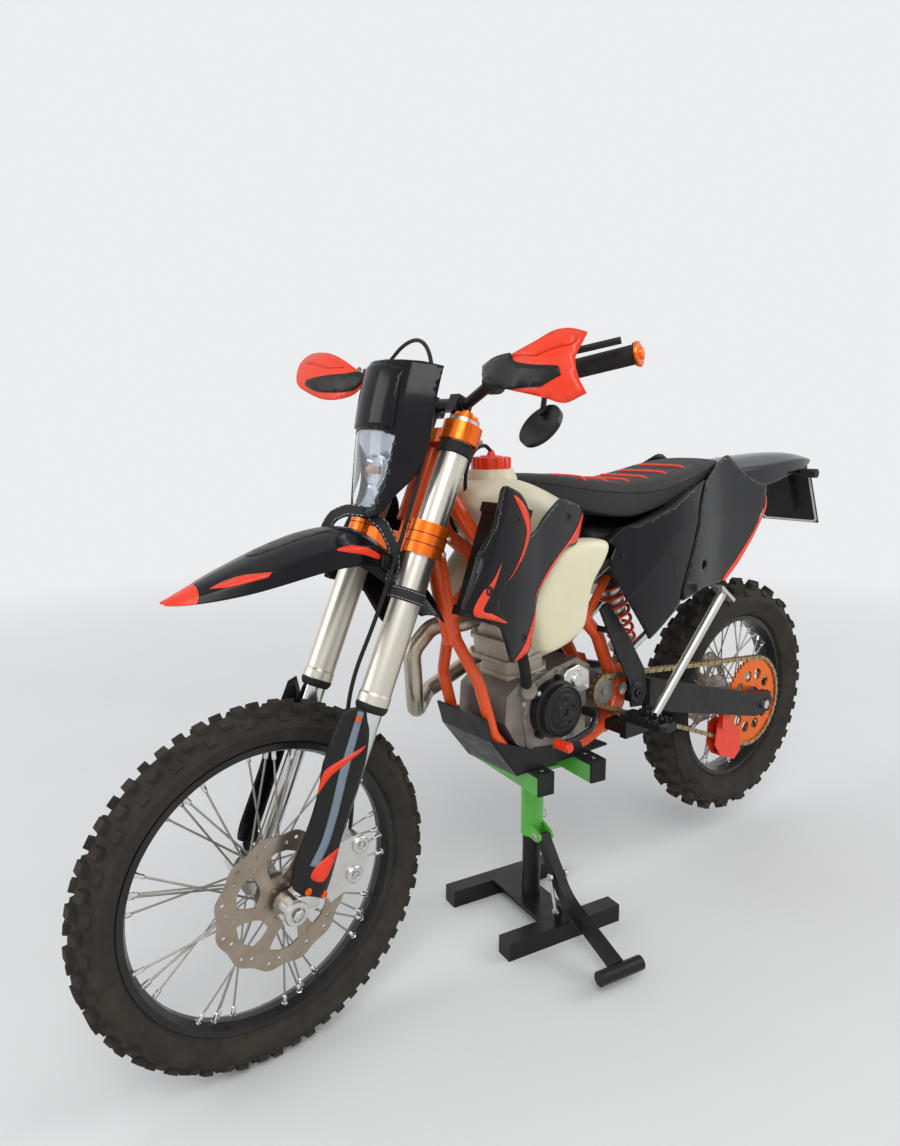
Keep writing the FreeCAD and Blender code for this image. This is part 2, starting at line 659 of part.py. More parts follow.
def mask():
    """The headlight mask: a bent shield with the lamp's opening."""
    lean = 16.6
    plan = plate("MaskPlan", "XY_Plane", [
        (-90, -117), (-60, -112), (-14, -70, 110), (-14, 70), (-60, 112), (-90, 117), (-90, 113),
        (-62, 108), (-18, 68, -106), (-18, -68), (-62, -108), (-90, -113)], 420, -60, False)
    face = plate("MaskFace", "YZ_Plane", [
        (-40, -52), (-72, -10), (-84, 60), (-118, 120), (-122, 214), (-70, 262), (-56, 290), (56, 290),
        (70, 262), (122, 214), (118, 120), (84, 60), (72, -10), (40, -52)], 400)
    window = plate("MaskWindow", "YZ_Plane", [
        (-34, 8), (-62, 40), (-66, 128), (-30, 142), (30, 142), (66, 128), (62, 40), (34, 8)], 90)
    shield = cut("MaskShield", common("MaskCommon", [plan, face]), window)
    return place(group("MaskSet", [shield]), 112, 0, 732, lean, (0, 1, 0))


mask_tabs = [box("MaskTab", (46, 10, 26), (74, s * 104, 850)) for s in (-1, 1)]
tube_space = [cylinder("MaskTubeSpace", S["tube_radius"] + 0.3, 200, fork_x, s * S["fork_side"], 750)
              for s in (-1, 1)]
node("headlight_mask", cut("HeadlightMask", fuse("MaskWhole", [mask()] + mask_tabs),
                           group("MaskTubeSpaces", tube_space)), "steering")
lamp = plate("LampBody", "YZ_Plane", [
    (-32, 10), (-60, 41), (-64, 126), (-29, 140), (29, 140), (64, 126), (60, 41), (32, 10)], 42)
place(lamp, 77, 0, 732, 16.6, (0, 1, 0))
node("headlight", group("Headlight", [lamp]), "steering")

bar_z = S["bar_height"]
bar_points = [(0, 0), (2, 62), (30, 158), (8, 240), (-47, 405)]
bar_rises = [0, 0, 30, 42, 104]
half_bar = [(x, y, float(bar_z) + rise) for (x, y), rise in zip(bar_points, bar_rises)]
whole_bar = [(x, -y, z) for x, y, z in reversed(half_bar[1:])] + half_bar[1:]
handlebar = pipe("BarTube", S["bar_end_radius"], whole_bar, 60)
middle = rod("BarMiddle", S["bar_radius"], (2, -64, bar_z), (2, 64, bar_z))
risers = []
for s in (-1, 1):
    risers.append(box("BarClamp", (40, 28, 34), (0, s * 40, bar_z - 1)))
    risers.append(cylinder("BarPost", 12, bar_z - 12 - S["upper_clamp_low"] - S["upper_clamp_thick"] * 0.8, 0,
                           s * 40, S["upper_clamp_low"] + S["upper_clamp_thick"] * 0.8))
node("handlebar", fuse("Handlebar", [handlebar, middle] + risers), "steering")
grip_in, grip_out = half_bar[3], half_bar[4]
grip_way = V(*grip_out) - V(*grip_in)
grip_way.normalize()
grip_end = V(*grip_out) + grip_way * 3
grip_start = grip_end - grip_way * float(S["grip_long"])
grip = rod("Grip", S["grip_radius"], tuple(grip_start), tuple(grip_end))
flange = rod("GripFlange", S["grip_radius"] + 5, tuple(grip_start), tuple(grip_start + grip_way * 5))
end_flange = rod("GripEnd", S["grip_radius"] + 3, tuple(grip_end - grip_way * 4), tuple(grip_end))
grip_bore = rod("GripBore", S["bar_end_radius"] + 0.15, tuple(grip_start - grip_way * 9),
                tuple(grip_end + grip_way * 9))
node("grips", pair("Grips", cut("GripHollow", fuse("GripSolid", [grip, flange, end_flange]), grip_bore)),
     "steering")


def along_bar(distance, ahead=0, up=0):
    """A point beside the left bar end, measured in from the grip's inner flange."""
    base = grip_start - grip_way * distance
    return (base.x + ahead, base.y, base.z + up)


perch = rod("Perch", 17, along_bar(38), along_bar(18))
perch_bore = rod("PerchBore", S["bar_end_radius"] + 0.15, along_bar(60), along_bar(6))
reservoir = box("Reservoir", (34, 42, 26), along_bar(33, 30, 12))
arm = rod("PerchArm", 8, along_bar(35, 10), along_bar(20, 46, -2))
lever = pipe("LeverBlade", 6, [along_bar(22, 44, -2), along_bar(0, 56, -2), along_bar(-60, 50, 0),
                               along_bar(-112, 40, 6)], 30)
left_set = cut("LeverSet", fuse("LeverSolid", [perch, reservoir, arm, lever]), perch_bore)
mirror_disc = cylinder("MirrorDisc", 43, 9, 18, 300, 932, (-0.95, 0.05, -0.25))
mirror_stem = rod("MirrorStem", 5, (18, 300, 950), along_bar(32, 12.6, -17.2))
mirror_set = fuse("MirrorSet", [mirror_disc, mirror_stem])
node("hand_controls", group("HandControls", [left_set, mirror_set, mirrored("RightControls", left_set)]),
     "steering")


def handguard():
    """An open guard: a curved blade ahead of the grip and the bracket to the bar's bend."""
    plan = plate("GuardCurve", "XY_Plane", [
        (92, 196), (104, 240), (84, 330, 190), (20, 404), (8, 412), (4, 408), (14, 399),
        (79, 327, -186), (99, 241), (88, 199)], 400, bar_z - 82, False)
    face = plate("GuardFace", "YZ_Plane", [
        (190, bar_z + 18), (262, bar_z + 2), (350, bar_z + 18), (408, bar_z + 68), (416, bar_z + 104),
        (372, bar_z + 130), (262, bar_z + 84), (190, bar_z + 54)], 400)
    blade = common("GuardBlade", [plan, face])
    lip = plate("GuardLip", "XY_Plane", [
        (70, 214), (101, 240), (82, 330, 190), (52, 372), (40, 352), (62, 310), (76, 262)], 5, bar_z + 32, False)
    stay = rod("GuardStay", 7, (47, 176, bar_z + 28), (80, 222, bar_z + 35))
    saddle = cylinder("GuardSaddle", 10, 18, 47, 176, bar_z + 22, (0, 0, 1))
    return fuse("HandguardSolid", [blade, lip, stay, saddle])


node("handguards", pair("Handguards", handguard()), "steering")
caliper = plate("Caliper", "XZ_Plane", [
    (-2.5, 34), (-34, 10), (-62, 36), (-88, 84), (-78, 128), (-46, 142), (-12, 120), (-8, 70), (-2.5, 62)], 44)
place(caliper, 0, S["front_disc_side"] + 2, 0)
disc_space = cylinder("DiscSpace", S["front_disc_radius"] + 5, S["disc_thick"] + 8, axle_x,
                      S["front_disc_side"] - S["disc_thick"] / 2 - 4, 0, (0, 1, 0))
node("front_caliper", cut("FrontCaliper", caliper, disc_space), "steering")
hose_route = [(-46, 66, 142.4), (-34, 62, 200), (4, 61, 268), (40, 62, 340), (60, 70, 420), (66, 88, 510),
              (68, 94, 600), (70, 92, 700), (74, 90, 790), (80, 86, 880), (96, 76, 970), (104, 40, 1044),
              (94, -30, 1086), (70, -120, 1092), (46, -190, 1072), (34, -236, 1050)]
hose_radius, hose_bend = 4, 400
brake_hose = pipe("BrakeHose", hose_radius, hose_route, hose_bend)
bends = [edge.Curve.Radius for edge in route(hose_route, hose_bend).Edges
         if edge.Curve.TypeId == "Part::GeomCircle"]
print("brake hose, bend radii in mm:", " ".join("%.0f" % radius for radius in bends))
node("brake_hose", group("BrakeHoseSet", [brake_hose]), "steering")

# Chassis, drawn in stations.
head_low = float(S["lower_clamp_low"] + S["lower_clamp_thick"]) + 5
head_high = float(S["upper_clamp_low"]) - 5


def head_tube():
    tube = rod("HeadTube", S["head_radius"], steer_point(head_low), steer_point(head_high))
    bearing = rod("HeadBore", S["head_bore"], steer_point(head_low - 5), steer_point(head_high + 5))
    return tube, bearing


tube, bearing = head_tube()
fork_point = (1030, 0, 742)
down = pipe("DownTube", S["downtube_radius"], [steer_point(head_low + 52, 2), steer_point(head_low - 40, -88),
                                               (1058, 0, 850), fork_point], 120)
cradle_z = S["skid_low"] + S["skid_thick"] + S["cradle_radius"] + 0.3
cradle_path = [(1034, 10, 756), (1008, 62, 660), (972, S["cradle_side"], 540), (900, S["cradle_side"], cradle_z),
               (690, S["cradle_side"], cradle_z), (600, 64, 484), (568, S["frame_low_side"], 540)]
cradles = [pipe("Cradle", S["cradle_radius"], [(x, s * y, z) for x, y, z in cradle_path], 60)
           for s in (-1, 1)]
beam_path = [steer_point(head_high - 46, -16, 12), (1010, 50, 968), (760, S["beam_side"], 800),
             (652, 70, 712), (612, S["frame_low_side"], 650), (556, S["frame_low_side"], 543)]
beams = [pipe("Beam", S["beam_radius"], [(x, s * y, z) for x, y, z in beam_path], 90) for s in (-1, 1)]
braces = [rod("Brace", 11, (1052, s * 8, 800), (880, s * 70, 876)) for s in (-1, 1)]
pivot_plates = [place(plate("PivotPlate", "XZ_Plane", [
    (606, 640), (560, 626), (536, 580), (540, 520), (566, 476), (606, 460), (622, 480), (610, 520),
    (606, 590)], S["plate_thick"]), 0, s * S["frame_low_side"], 0) for s in (-1, 1)]
shock_low, shock_high = (462, 0, 618), (556, 0, 888)
towers = [pipe("ShockTower", 10, [(712, s * 84, 756), (600, s * 62, 868), (556, s * 40, 888)], 60) for s in (-1, 1)]
cross = [rod("CrossTube", 11, (684, -77, 738), (684, 77, 738)),
         rod("CrossTubeLow", 10, (594, -56, 503), (594, 56, 503)),
         rod("ShockBolt", 7, (shock_high[0], -40, shock_high[2]), (shock_high[0], 40, shock_high[2]))]
steel = fuse("FrameLoop", [tube, down] + cradles + beams)
for piece in braces + pivot_plates + towers + cross:
    steel = fuse("FrameTubes", [steel, piece])
pivot_bore = cylinder("PivotBore", S["pivot_radius"] + 0.1, 300, S["pivot_x"], -150, S["pivot_z"], (0, 1, 0))
node("frame", cut("Frame", steel, fuse("FrameBores", [bearing, pivot_bore])))
pivot_long = 2 * (S["frame_low_side"] + S["beam_radius"])
pivot = cylinder("PivotBolt", S["pivot_radius"], pivot_long + 2, S["pivot_x"], -pivot_long / 2 - 1,
                 S["pivot_z"], (0, 1, 0))
pivot_heads = [cylinder("PivotHead", 15, 6, S["pivot_x"], y, S["pivot_z"], (0, 1, 0))
               for y in (pivot_long / 2 + 0.3, -pivot_long / 2 - 6.3)]
node("rear_axles", group("RearAxles", [fuse("PivotSet", [pivot] + pivot_heads), rear_axle]))
guard_plate = place(plate("FrameGuard", "XZ_Plane", [
    (702, 786), (676, 800), (596, 706), (536, 620), (524, 560), (542, 528), (580, 532), (590, 596),
    (640, 676)], 5), 0, 118, 0)
guard_boss = cylinder("GuardBoss", 7, 44, 672, 74, 734, (0, 1, 0))
guard_pins = fuse("GuardWhole", [guard_plate, guard_boss])
beam_space = [pipe("GuardSpace", S["beam_radius"] + 0.3, [(x, y, z) for x, y, z in beam_path], 90)]
node("frame_guards", pair("FrameGuards", cut("FrameGuardCut", guard_pins, beam_space[0])))
rail_path = [(749.5, 84.7, 823.2), (560, 84, 924), (330, 78, 1010), (60, 60, 1056)]
strut_path = [(606, 82.6, 644), (560, 93, 664), (420, 104, 748), (300, 96, 900), (230, 74, 1026)]
rails = [pipe("SeatRail", 10, [(x, s * y, z) for x, y, z in rail_path], 80) for s in (-1, 1)]
struts = [pipe("Strut", 9, [(x, s * y, z) for x, y, z in strut_path], 80) for s in (-1, 1)]
ties = [rod("RailTie", 8, (x, -y, z), (x, y, z)) for x, y, z in ((330, 78, 1010), (66, 60, 1055))]
node("subframe", fuse("Subframe", rails + struts + ties))

# Swingarm: two tapered arms and a bridge ahead of the tyre.
arm_outline = [(512, 590), (412, 564), (40, 456), (-40, 448), (-52, 420), (-40, 392),
               (30, 388), (430, 488), (512, 523)]
arms = [place(plate("Arm", "XZ_Plane", arm_outline, S["arm_thick"]), 0, s * S["arm_side"], 0) for s in (-1, 1)]
bridge = plate("ArmBridge", "XZ_Plane", [(508, 570), (420, 560), (396, 540), (402, 502), (440, 496), (508, 514)],
               2 * S["arm_side"])
axle_slot = plate("AxleSlot", "XZ_Plane", [
    (-18, rear_axle_z + 12.2), (-18, rear_axle_z - 12.2), (14, rear_axle_z - 12.2), (14, rear_axle_z + 12.2)],
    400)
neck_half = S["frame_low_side"] - S["beam_radius"] - 1
neck = plate("ArmNeck", "XZ_Plane", [(566, 586), (500, 578), (500, 516), (560, 546)], 2 * neck_half)
pivot_tube = cylinder("PivotTube", 21, 2 * neck_half, S["pivot_x"], -neck_half, S["pivot_z"], (0, 1, 0))
tube_bore = cylinder("PivotTubeBore", S["pivot_radius"] + 0.2, 300, S["pivot_x"], -150, S["pivot_z"], (0, 1, 0))
shock_ears = [place(plate("ShockEar", "XZ_Plane", [
    (440, 560), (446, 620), (462, 632), (478, 620), (486, 564)], 8), 0, s * 21, 0) for s in (-1, 1)]
shock_pin = cylinder("ShockPin", 7, 44, shock_low[0], -22, shock_low[2], (0, 1, 0))
arm_whole = fuse("SwingarmWhole", arms + [bridge, neck, pivot_tube] + shock_ears + [shock_pin])
node("swingarm", cut("Swingarm", arm_whole, fuse("SwingarmBores", [axle_slot, tube_bore])))

way = V(*shock_high) - V(*shock_low)
way.normalize()


def shock_point(share):
    return tuple(V(*shock_low) * (1 - share) + V(*shock_high) * share)


body_rods = [rod("ShockShaft", 9, shock_point(0.04), shock_point(0.5)),
             rod("ShockBody", 25, shock_point(0.42), shock_point(0.93)),
             rod("SpringSeatLow", 38, shock_point(0.09), shock_point(0.12)),
             rod("SpringSeatHigh", 38, shock_point(0.8), shock_point(0.84)),
             cylinder("ShockEyeLow", 14, 32, shock_low[0], -16, shock_low[2], (0, 1, 0)),
             cylinder("ShockEyeHigh", 15, 30, shock_high[0], -15, shock_high[2], (0, 1, 0)),
             rod("ReservoirArm", 12, shock_point(0.9), (530, -62, 850)),
             rod("ShockReservoir", 20, (566, -62, 770), (524, -62, 856))]
eye_bores = [cylinder("EyeBore", 7.3, 60, x, -30, z, (0, 1, 0)) for x, y, z in (shock_low, shock_high)]
node("shock_body", cut("ShockBodySet", fuse("ShockParts", body_rods), group("EyeBores", eye_bores)))


def spring():
    """A wire coil between the two seats."""
    foot = V(*shock_point(0.12)) + way * 4.3
    head = V(*shock_point(0.8)) - way * 4.3
    turns = 7
    helix = Part.makeHelix((head - foot).Length / turns, (head - foot).Length, 32)
    ring = Part.Wire(Part.makeCircle(4.5, V(32, 0, 0), V(0, 1, 0.12)))
    coil = Part.Wire(helix.Edges).makePipeShell([ring], True, True)
    item = doc.addObject("Part::Feature", "Spring")
    item.Shape = coil
    spin = FreeCAD.Rotation(V(0, 0, 1), way)
    item.Placement = FreeCAD.Placement(foot, spin)
    return item


node("shock_spring", group("SpringSet", [spring()]))
chain_cheeks = [place(plate("GuideCheek", "XZ_Plane", [
    (64, 292), (92, 270), (160, 296), (188, 334), (180, 392), (150, 404), (70, 352)], 4), 0,
    S["chain_side"] + s * (S["chain_half"] + 4), 0) for s in (-1, 1)]
guide_foot = plate("GuideFoot", "XZ_Plane", [(92, 270), (160, 296), (158, 302), (90, 277)],
                   2 * S["chain_half"] + 8)
place(guide_foot, 0, S["chain_side"], 0)
guide_tab = place(plate("GuideTab", "XZ_Plane", [(140, 380), (176, 380), (176, 424.2), (140, 415.2)], 14),
                  0, 104, 0)
node("chain_guide", fuse("ChainGuide", chain_cheeks + [guide_foot, guide_tab]))
rear_caliper = plate("RearCaliper", "XZ_Plane", [
    (60, 470), (118, 486), (140, 520), (120, 548), (78, 530), (52, 498)], 30)
place(rear_caliper, 0, -S["rear_disc_side"] - 4, 0)
caliper_gap = box("RearCaliperSlot", (120, S["disc_thick"] + 10, 90), (60, -S["rear_disc_side"], 480))
carrier_plate = place(plate("CaliperCarrier", "XZ_Plane", [
    (-10, 447), (30, 437), (130, 490), (118, 520), (60, 500)], 5), 0, 0.3 + 2.5 - 95, 0)
node("rear_caliper", fuse("RearCaliperWhole", [cut("RearCaliperOpen", rear_caliper, caliper_gap), carrier_plate]))

# Engine.
case = plate("Crankcase", "XZ_Plane", [
    (660, 480), (740, 472), (868, 478), (914, 508), (948, 560), (944, 620), (900, 652), (800, 660),
    (730, 672), (672, 640), (640, 620), (626, 580), (636, 520)], 2 * S["case_half"])
case_gap = box("CaseSprocketGap", (90, 60, 150), (650, S["case_half"] + 8, 570))
barrel_low = 660.3
lean_run = 0.1
barrel = plate("Barrel", "XZ_Plane", [(808, barrel_low), (928, barrel_low), (938, 752), (818, 752)], 112)
fins = [plate("BarrelRib", "XZ_Plane", [(800 + r * lean_run, barrel_low + r), (936 + r * lean_run, barrel_low + r),
                                        (936 + r * lean_run, barrel_low + r + 6),
                                        (800 + r * lean_run, barrel_low + r + 6)], 124) for r in (18, 36, 54, 72)]
head = plate("CylinderHead", "XZ_Plane", [(806, 744), (944, 744), (952, 808), (814, 808)], 128)
cam_cover = plate("CamCover", "XZ_Plane", [(826, 800), (942, 800), (944, 826), (926, 836), (836, 836), (826, 826)],
                  116)
case_feet = box("CaseFeet", (44, 2 * (S["cradle_side"] + 8), 12), (800, 0, cradle_z + S["cradle_radius"] + 6.3))
node("engine_case", fuse("EngineCaseSet", [cut("EngineCase", case, case_gap), case_feet, shaft, shaft_sprocket]))
node("cylinder", fuse("Cylinder", [barrel, head, cam_cover] + fins))


def side_cover(name, radius, x, z, side, deep):
    """A stepped round cover on the side of the crankcase."""
    cover = turned(name, [(0, 0), (radius, 0), (radius, deep * 0.55), (radius - 7, deep * 0.62),
                          (radius - 9, deep * 0.9), (radius - 16, deep), (radius * 0.35, deep),
                          (radius * 0.3, deep - 4), (0, deep - 4)])
    return place(cover, x, side, z, 0 if float(side) > 0 else 180, (1, 0, 0))


lugs = [cylinder("CoverBoss", 8, 22, S["crank_x"] + 68 * math.cos(a), S["case_half"] + 0.3,
                 S["crank_z"] + 68 * math.sin(a), (0, 1, 0)) for a in (0.6, 1.8, 3.0, 4.3, 5.4)]
ignition = fuse("IgnitionCover", [side_cover("IgnitionRound", S["cover_radius"], S["crank_x"],
                                                         S["crank_z"], S["case_half"] + 0.3, 46)] + lugs)
clutch = fuse("ClutchCover", [
    side_cover("ClutchRound", 72, 726, 576, -S["case_half"] - 0.3, 42),
    side_cover("CrankRound", 52, 842, 566, -S["case_half"] - 0.3, 30)])
node("engine_covers", group("EngineCovers", [ignition, clutch]))
header = pipe("Header", 19, [(948.6, -22, 776), (990, -22, 770.8), (1036, -62, 768), (1088, -68, 716),
                             (1092, -54, 630), (1060, -94, 566), (990, -146, 590), (900, -148, 622), (800, -146, 660),
                             (680, -145, 706), (560, -150, 756), (470, -164, 776)], 46)
can = rod("MufflerCan", 46, (440, -166, 786), (96, -168, 936))
can_front = pipe("MufflerNose", 25, [(480, -163, 773), (460, -165, 778), (420, -166, 795)], 30)
can_tail = rod("MufflerTail", 22, (98, -168, 935), (60, -168, 952))
node("exhaust", fuse("Exhaust", [header, can, can_front, can_tail]))
skid_top = S["skid_low"] + S["skid_thick"]
skid = plate("SkidFloor", "XZ_Plane", [
    (1004, 586), (988, 534), (913, skid_top), (620, skid_top), (620, S["skid_low"]), (916, S["skid_low"]),
    (993, 532), (1009, 585)], 2 * (S["cradle_side"] + S["cradle_radius"] + 4))
skid_side = [place(plate("SkidSide", "XZ_Plane", [
    (989, 534), (914, skid_top - 1), (700, skid_top - 1), (716, 470), (880, 492)], 5), 0,
    s * (S["cradle_side"] + S["cradle_radius"] + 2.8), 0)
    for s in (-1, 1)]
node("skid_plate", fuse("SkidPlate", [skid] + skid_side))
radiator = box("RadiatorCore", (30, 104, 214), (1030, 123, 926), -20)
tank_cap = [box("RadiatorTank", (38, 110, 20), (1030 - s * 36.6, 123, 926 + s * 100.5), -20) for s in (-1, 1)]
radiator_boss = cylinder("RadiatorBoss", 6, 24, 1010, 55, 960, (0, 1, 0))
boss_space = pipe("RadiatorBossSpace", S["beam_radius"] + 0.3, beam_path, 90)
node("radiators", pair("Radiators", fuse("Radiator", [radiator, cut("RadiatorBossCut", radiator_boss, boss_space)]
                                         + tank_cap)))

# Bodywork.
shroud_face = plate("ShroudFace", "XZ_Plane", [
    (1090, 1078), (1130, 980), (1178, 868, 60), (1164, 846), (1120, 800), (1062, 752), (1040, 758),
    (1006, 830), (968, 880), (930, 990), (882, 1018), (900, 1034), (984, 1052)], 300)
place(shroud_face, 0, 250, 0)
shroud_plan = plate("ShroudPlan", "XY_Plane", [
    (870, 174), (960, 198, -300), (1070, 230), (1190, 246), (1190, 242), (1071, 226, 300),
    (961, 194), (870, 170)], 400, 720, False)
shroud_boss = cylinder("ShroudBoss", 8, 27.7, 960, 168.3, 950, (0, 1, 0))
node("radiator_shrouds", pair("Shrouds", fuse("ShroudWhole", [
    common("Shroud", [shroud_face, shroud_plan]), shroud_boss])))
tank_mid = sections("TankMiddle", [[(x, -w, low), (x, w, low), (x, w, top - 30), (x, w * 0.72, top),
                                    (x, -w * 0.72, top), (x, -w, top - 30)]
                                   for x, w, low, top in ((740, 92, 880, 1022), (850, 128, 868, 1062),
                                                          (930, 132, 868, 1082), (1024, 112, 900, 1058))])
lobe = place(plate("TankLobe", "XZ_Plane", [
    (770, 946), (800, 800, -220), (828, 792), (948, 740, 30), (966, 752), (1006, 900), (960, 980),
    (880, 1000)], 60), 0, 138, 0)
tank_neck = cylinder("TankNeck", 44, 34, 925, 0, 1070)
tank_gap = [pipe("BeamGap", S["beam_radius"] + 5, [(x, s * y, z) for x, y, z in beam_path], 90)
            for s in (-1, 1)]
head_gap = plate("HeadGap", "XZ_Plane", [(790, 840), (950, 840), (950, 890), (790, 890)], 150)
radiator_gap = [box("RadiatorGap", (60, 130, 260), (1030, s * 118, 926), -20) for s in (-1, 1)]
tank_cuts = fuse("TankCuts", tank_gap + [head_gap] + radiator_gap)
tank_whole = fuse("TankSolid", [tank_mid, lobe, mirrored("TankLobeRight", lobe), tank_neck])
tank_solid = cut("TankCut", tank_whole, tank_cuts)
cap = turned("FuelCap", [(0, 0), (46, 0), (52, 4), (52, 16), (44, 24), (0, 26)], "XZ_Plane", "Z_Axis")
place(cap, 925, 0, 1104.3)
node("fuel_cap", group("FuelCapSet", [cap]))


def seat_ring(x, low, top, half, low_half):
    crown = top - 12
    return [(x, -low_half, low), (x, low_half, low), (x, half, (low + crown) / 2), (x, half * 0.86, crown),
            (x, half * 0.4, top), (x, -half * 0.4, top), (x, -half * 0.86, crown), (x, -half, (low + crown) / 2)]


seat_stations = [(884, 1068, 1092, 34, 30), (800, 1032, 1092, 70, 66), (700, 1010, 1080, 92, 92),
                 (560, 992, 1068, 118, 116), (420, 1010, 1070, 128, 122), (300, 1052, 1098, 118, 110),
                 (210, 1092, 1118, 84, 80)]
node("seat", group("Seat", [sections("SeatSolid", [seat_ring(*row) for row in seat_stations])]))
seat_space = sections("SeatSpace", [seat_ring(x + (20 if x > 880 else 0), low - float(S["seat_gap"]), top + 40,
                                              half + 8, low_half + 8) for x, low, top, half, low_half in seat_stations])
node("fuel_tank", cut("FuelTank", tank_solid, seat_space))
side_face = place(plate("SideFace", "XZ_Plane", [
    (716, 936), (694, 880), (640, 760), (606, 728), (580, 730), (430, 758), (236, 806), (-44, 976),
    (0, 1030), (240, 1100), (330, 1046), (440, 1004), (560, 984), (660, 976)], 200), 0, 200, 0)
side_plan = plate("SidePlan", "XY_Plane", [
    (730, 148), (620, 166, 400), (430, 160), (240, 124), (-60, 104), (-60, 100), (241, 120),
    (430, 156, -400), (620, 162), (730, 144)], 600, 660, False)
panel_boss = cylinder("PanelBoss", 8, 133 - 87.5, 300, 87.5, 1015, (0, 1, 0))
left_panel = fuse("LeftPanel", [common("SidePanel", [side_face, side_plan]), panel_boss])
can_space = fuse("CanSpace", [rod("CanSpaceTube", 52, (500, -166, 760), (40, -168, 960)),
                              pipe("HeaderSpace", 25, [(680, -145, 706), (560, -150, 756), (470, -164, 776)], 46)])
header_corner = box("HeaderCorner", (160, 80, 60), (566, -165, 726))
right_panel = cut("RightPanel", cut("RightPanelCorner", mirrored("RightPanelWhole", left_panel), header_corner),
                  can_space)
node("side_panels", group("SidePanels", [left_panel, right_panel]))
tail_stations = [(262, 104, 1000, 1040, 1050), (206, 104, 1016, 1072, 1082), (140, 104, 1030, 1082, 1094),
                 (0, 98, 1034, 1084, 1100), (-150, 84, 1062, 1094, 1108), (-316, 44, 1090, 1100, 1108)]
airbox = sections("Airbox", [[(x, -w, low), (x, w, low), (x, w, top), (x, -w, top)]
                             for x, w, low, top in ((470, 62, 800, 900), (400, 64, 800, 968),
                                                    (310, 64, 830, 996))])
tail_sheet = sections("TailSheet", channel(tail_stations, float(S["skin"])))
tail_posts = [cylinder("TailPost", 7, 29.7, 66, s * 36, 1063.3) for s in (-1, 1)]
box_posts = [cylinder("AirboxPost", 7, 40, 330, s * 36, 1001.7 - 40) for s in (-1, 1)]
node("rear_fender", group("RearFender", [fuse("Tail", [tail_sheet] + tail_posts),
                                         fuse("AirboxWhole", [airbox] + box_posts)]))
holder = [box("HolderArm", (22, 60, 150), (-244, 0, 1018), 24), box("HolderFoot", (110, 60, 12), (-214, 0, 1078))]
number_plate = box("NumberPlate", (4, 180, 170), (-267, 0, 990), 24)
indicators = []
for s in (-1, 1):
    indicators.append(rod("IndicatorStem", 6, (-222, s * 20, 1062), (-222, s * 74, 1062)))
    indicators.append(rod("IndicatorLamp", 13, (-222, s * 72, 1062), (-222, s * 116, 1062)))
tail_light = box("TailLight", (44, 90, 22), (-276, 0, 1074), 10)
node("plate_holder", fuse("PlateHolder", holder + indicators + [number_plate, tail_light]))

# Foot controls.
peg = plate("Peg", "XY_Plane", [(584, 150), (590, 132), (636, 132), (642, 150), (640, 250), (632, 262),
                                (596, 262), (588, 250)], 14, 520, False)
peg_open = [box("PegOpening", (34, 22, 60), (614, 176 + i * 28, 527)) for i in range(3)]
peg_teeth = [box("PegTooth", (5, 6, 8), (614 + s * 24, 156 + i * 14, 537)) for i in range(7) for s in (-1, 1)]
bracket_side = 64.8 + S["cradle_radius"] + 0.3
bracket = box("PegBracket", (40, 152 - bracket_side, 26), (604, (152 + bracket_side) / 2, 490))
bracket_post = box("PegPost", (44, 18, 50), (614, 143, 500))
peg_frame = cut("PegOpen", peg, fuse("PegOpenings", peg_open))
peg_whole = fuse("PegWhole", [peg_frame, bracket, bracket_post] + peg_teeth)
shift = pipe("ShiftArm", 6, [(700, 116, 540), (740, 138, 520), (800, 142, 510), (848, 146, 512)], 40)
shift_hub = cylinder("ShiftHub", 11, 40, 700, S["case_half"] + 0.3, 540, (0, 1, 0))
shift_tip = cylinder("ShiftTip", 10, 40, 848, 136, 512, (0, 1, 0))
shift_set = fuse("ShiftLever", [shift, shift_hub, shift_tip])
brake = pipe("BrakeArm", 7, [(640, -124, 500), (700, -140, 486), (800, -142, 500), (856, -146, 512)], 60)
brake_tip = box("BrakeTip", (34, 40, 12), (862, -152, 518))
brake_hub = cylinder("BrakeHub", 14, 30, 640, -138, 500, (0, 1, 0))
brake_set = fuse("BrakePedal", [brake, brake_tip, brake_hub])
stand_pivot = (540, 150, 500)
pin_way = V(0, 0.989, 0.146)


def pin_point(along):
    """A point on the side stand's pivot line, measured outwards from its knuckle's middle."""
    return tuple(V(*stand_pivot) + pin_way * along)


stand_mount = fuse("StandMount", [
    box("StandMountFoot", (28, 130 - 66.3, 20), (570, (130 + 66.3) / 2, 472)),
    box("StandMountPlate", (61, 8, 54), (553.5, 126, 489)),
    rod("StandMountBoss", 17, pin_point(-25), pin_point(-13.3)),
    rod("StandPin", 6, pin_point(-20), pin_point(15)),
    rod("StandPinHead", 11, pin_point(14.3), pin_point(19))])
left_peg = fuse("LeftPeg", [peg_whole, stand_mount])
node("foot_controls", group("FootControls", [left_peg, mirrored("RightPeg", peg_whole), shift_set, brake_set]))

# Side stand, folded up and back along its way.
stand_foot = (330, 188, 790)
leg = rod("StandLeg", 11, stand_pivot, stand_foot)
knuckle = rod("StandKnuckle", 17, pin_point(-13), pin_point(14))
knuckle_bore = rod("KnuckleBore", 6.06, pin_point(-30), pin_point(30))
foot = box("StandFoot", (70, 34, 8), (330, 188, 790), -36)
node("side_stand", cut("SideStand", fuse("SideStandWhole", [leg, knuckle, foot]), knuckle_bore))

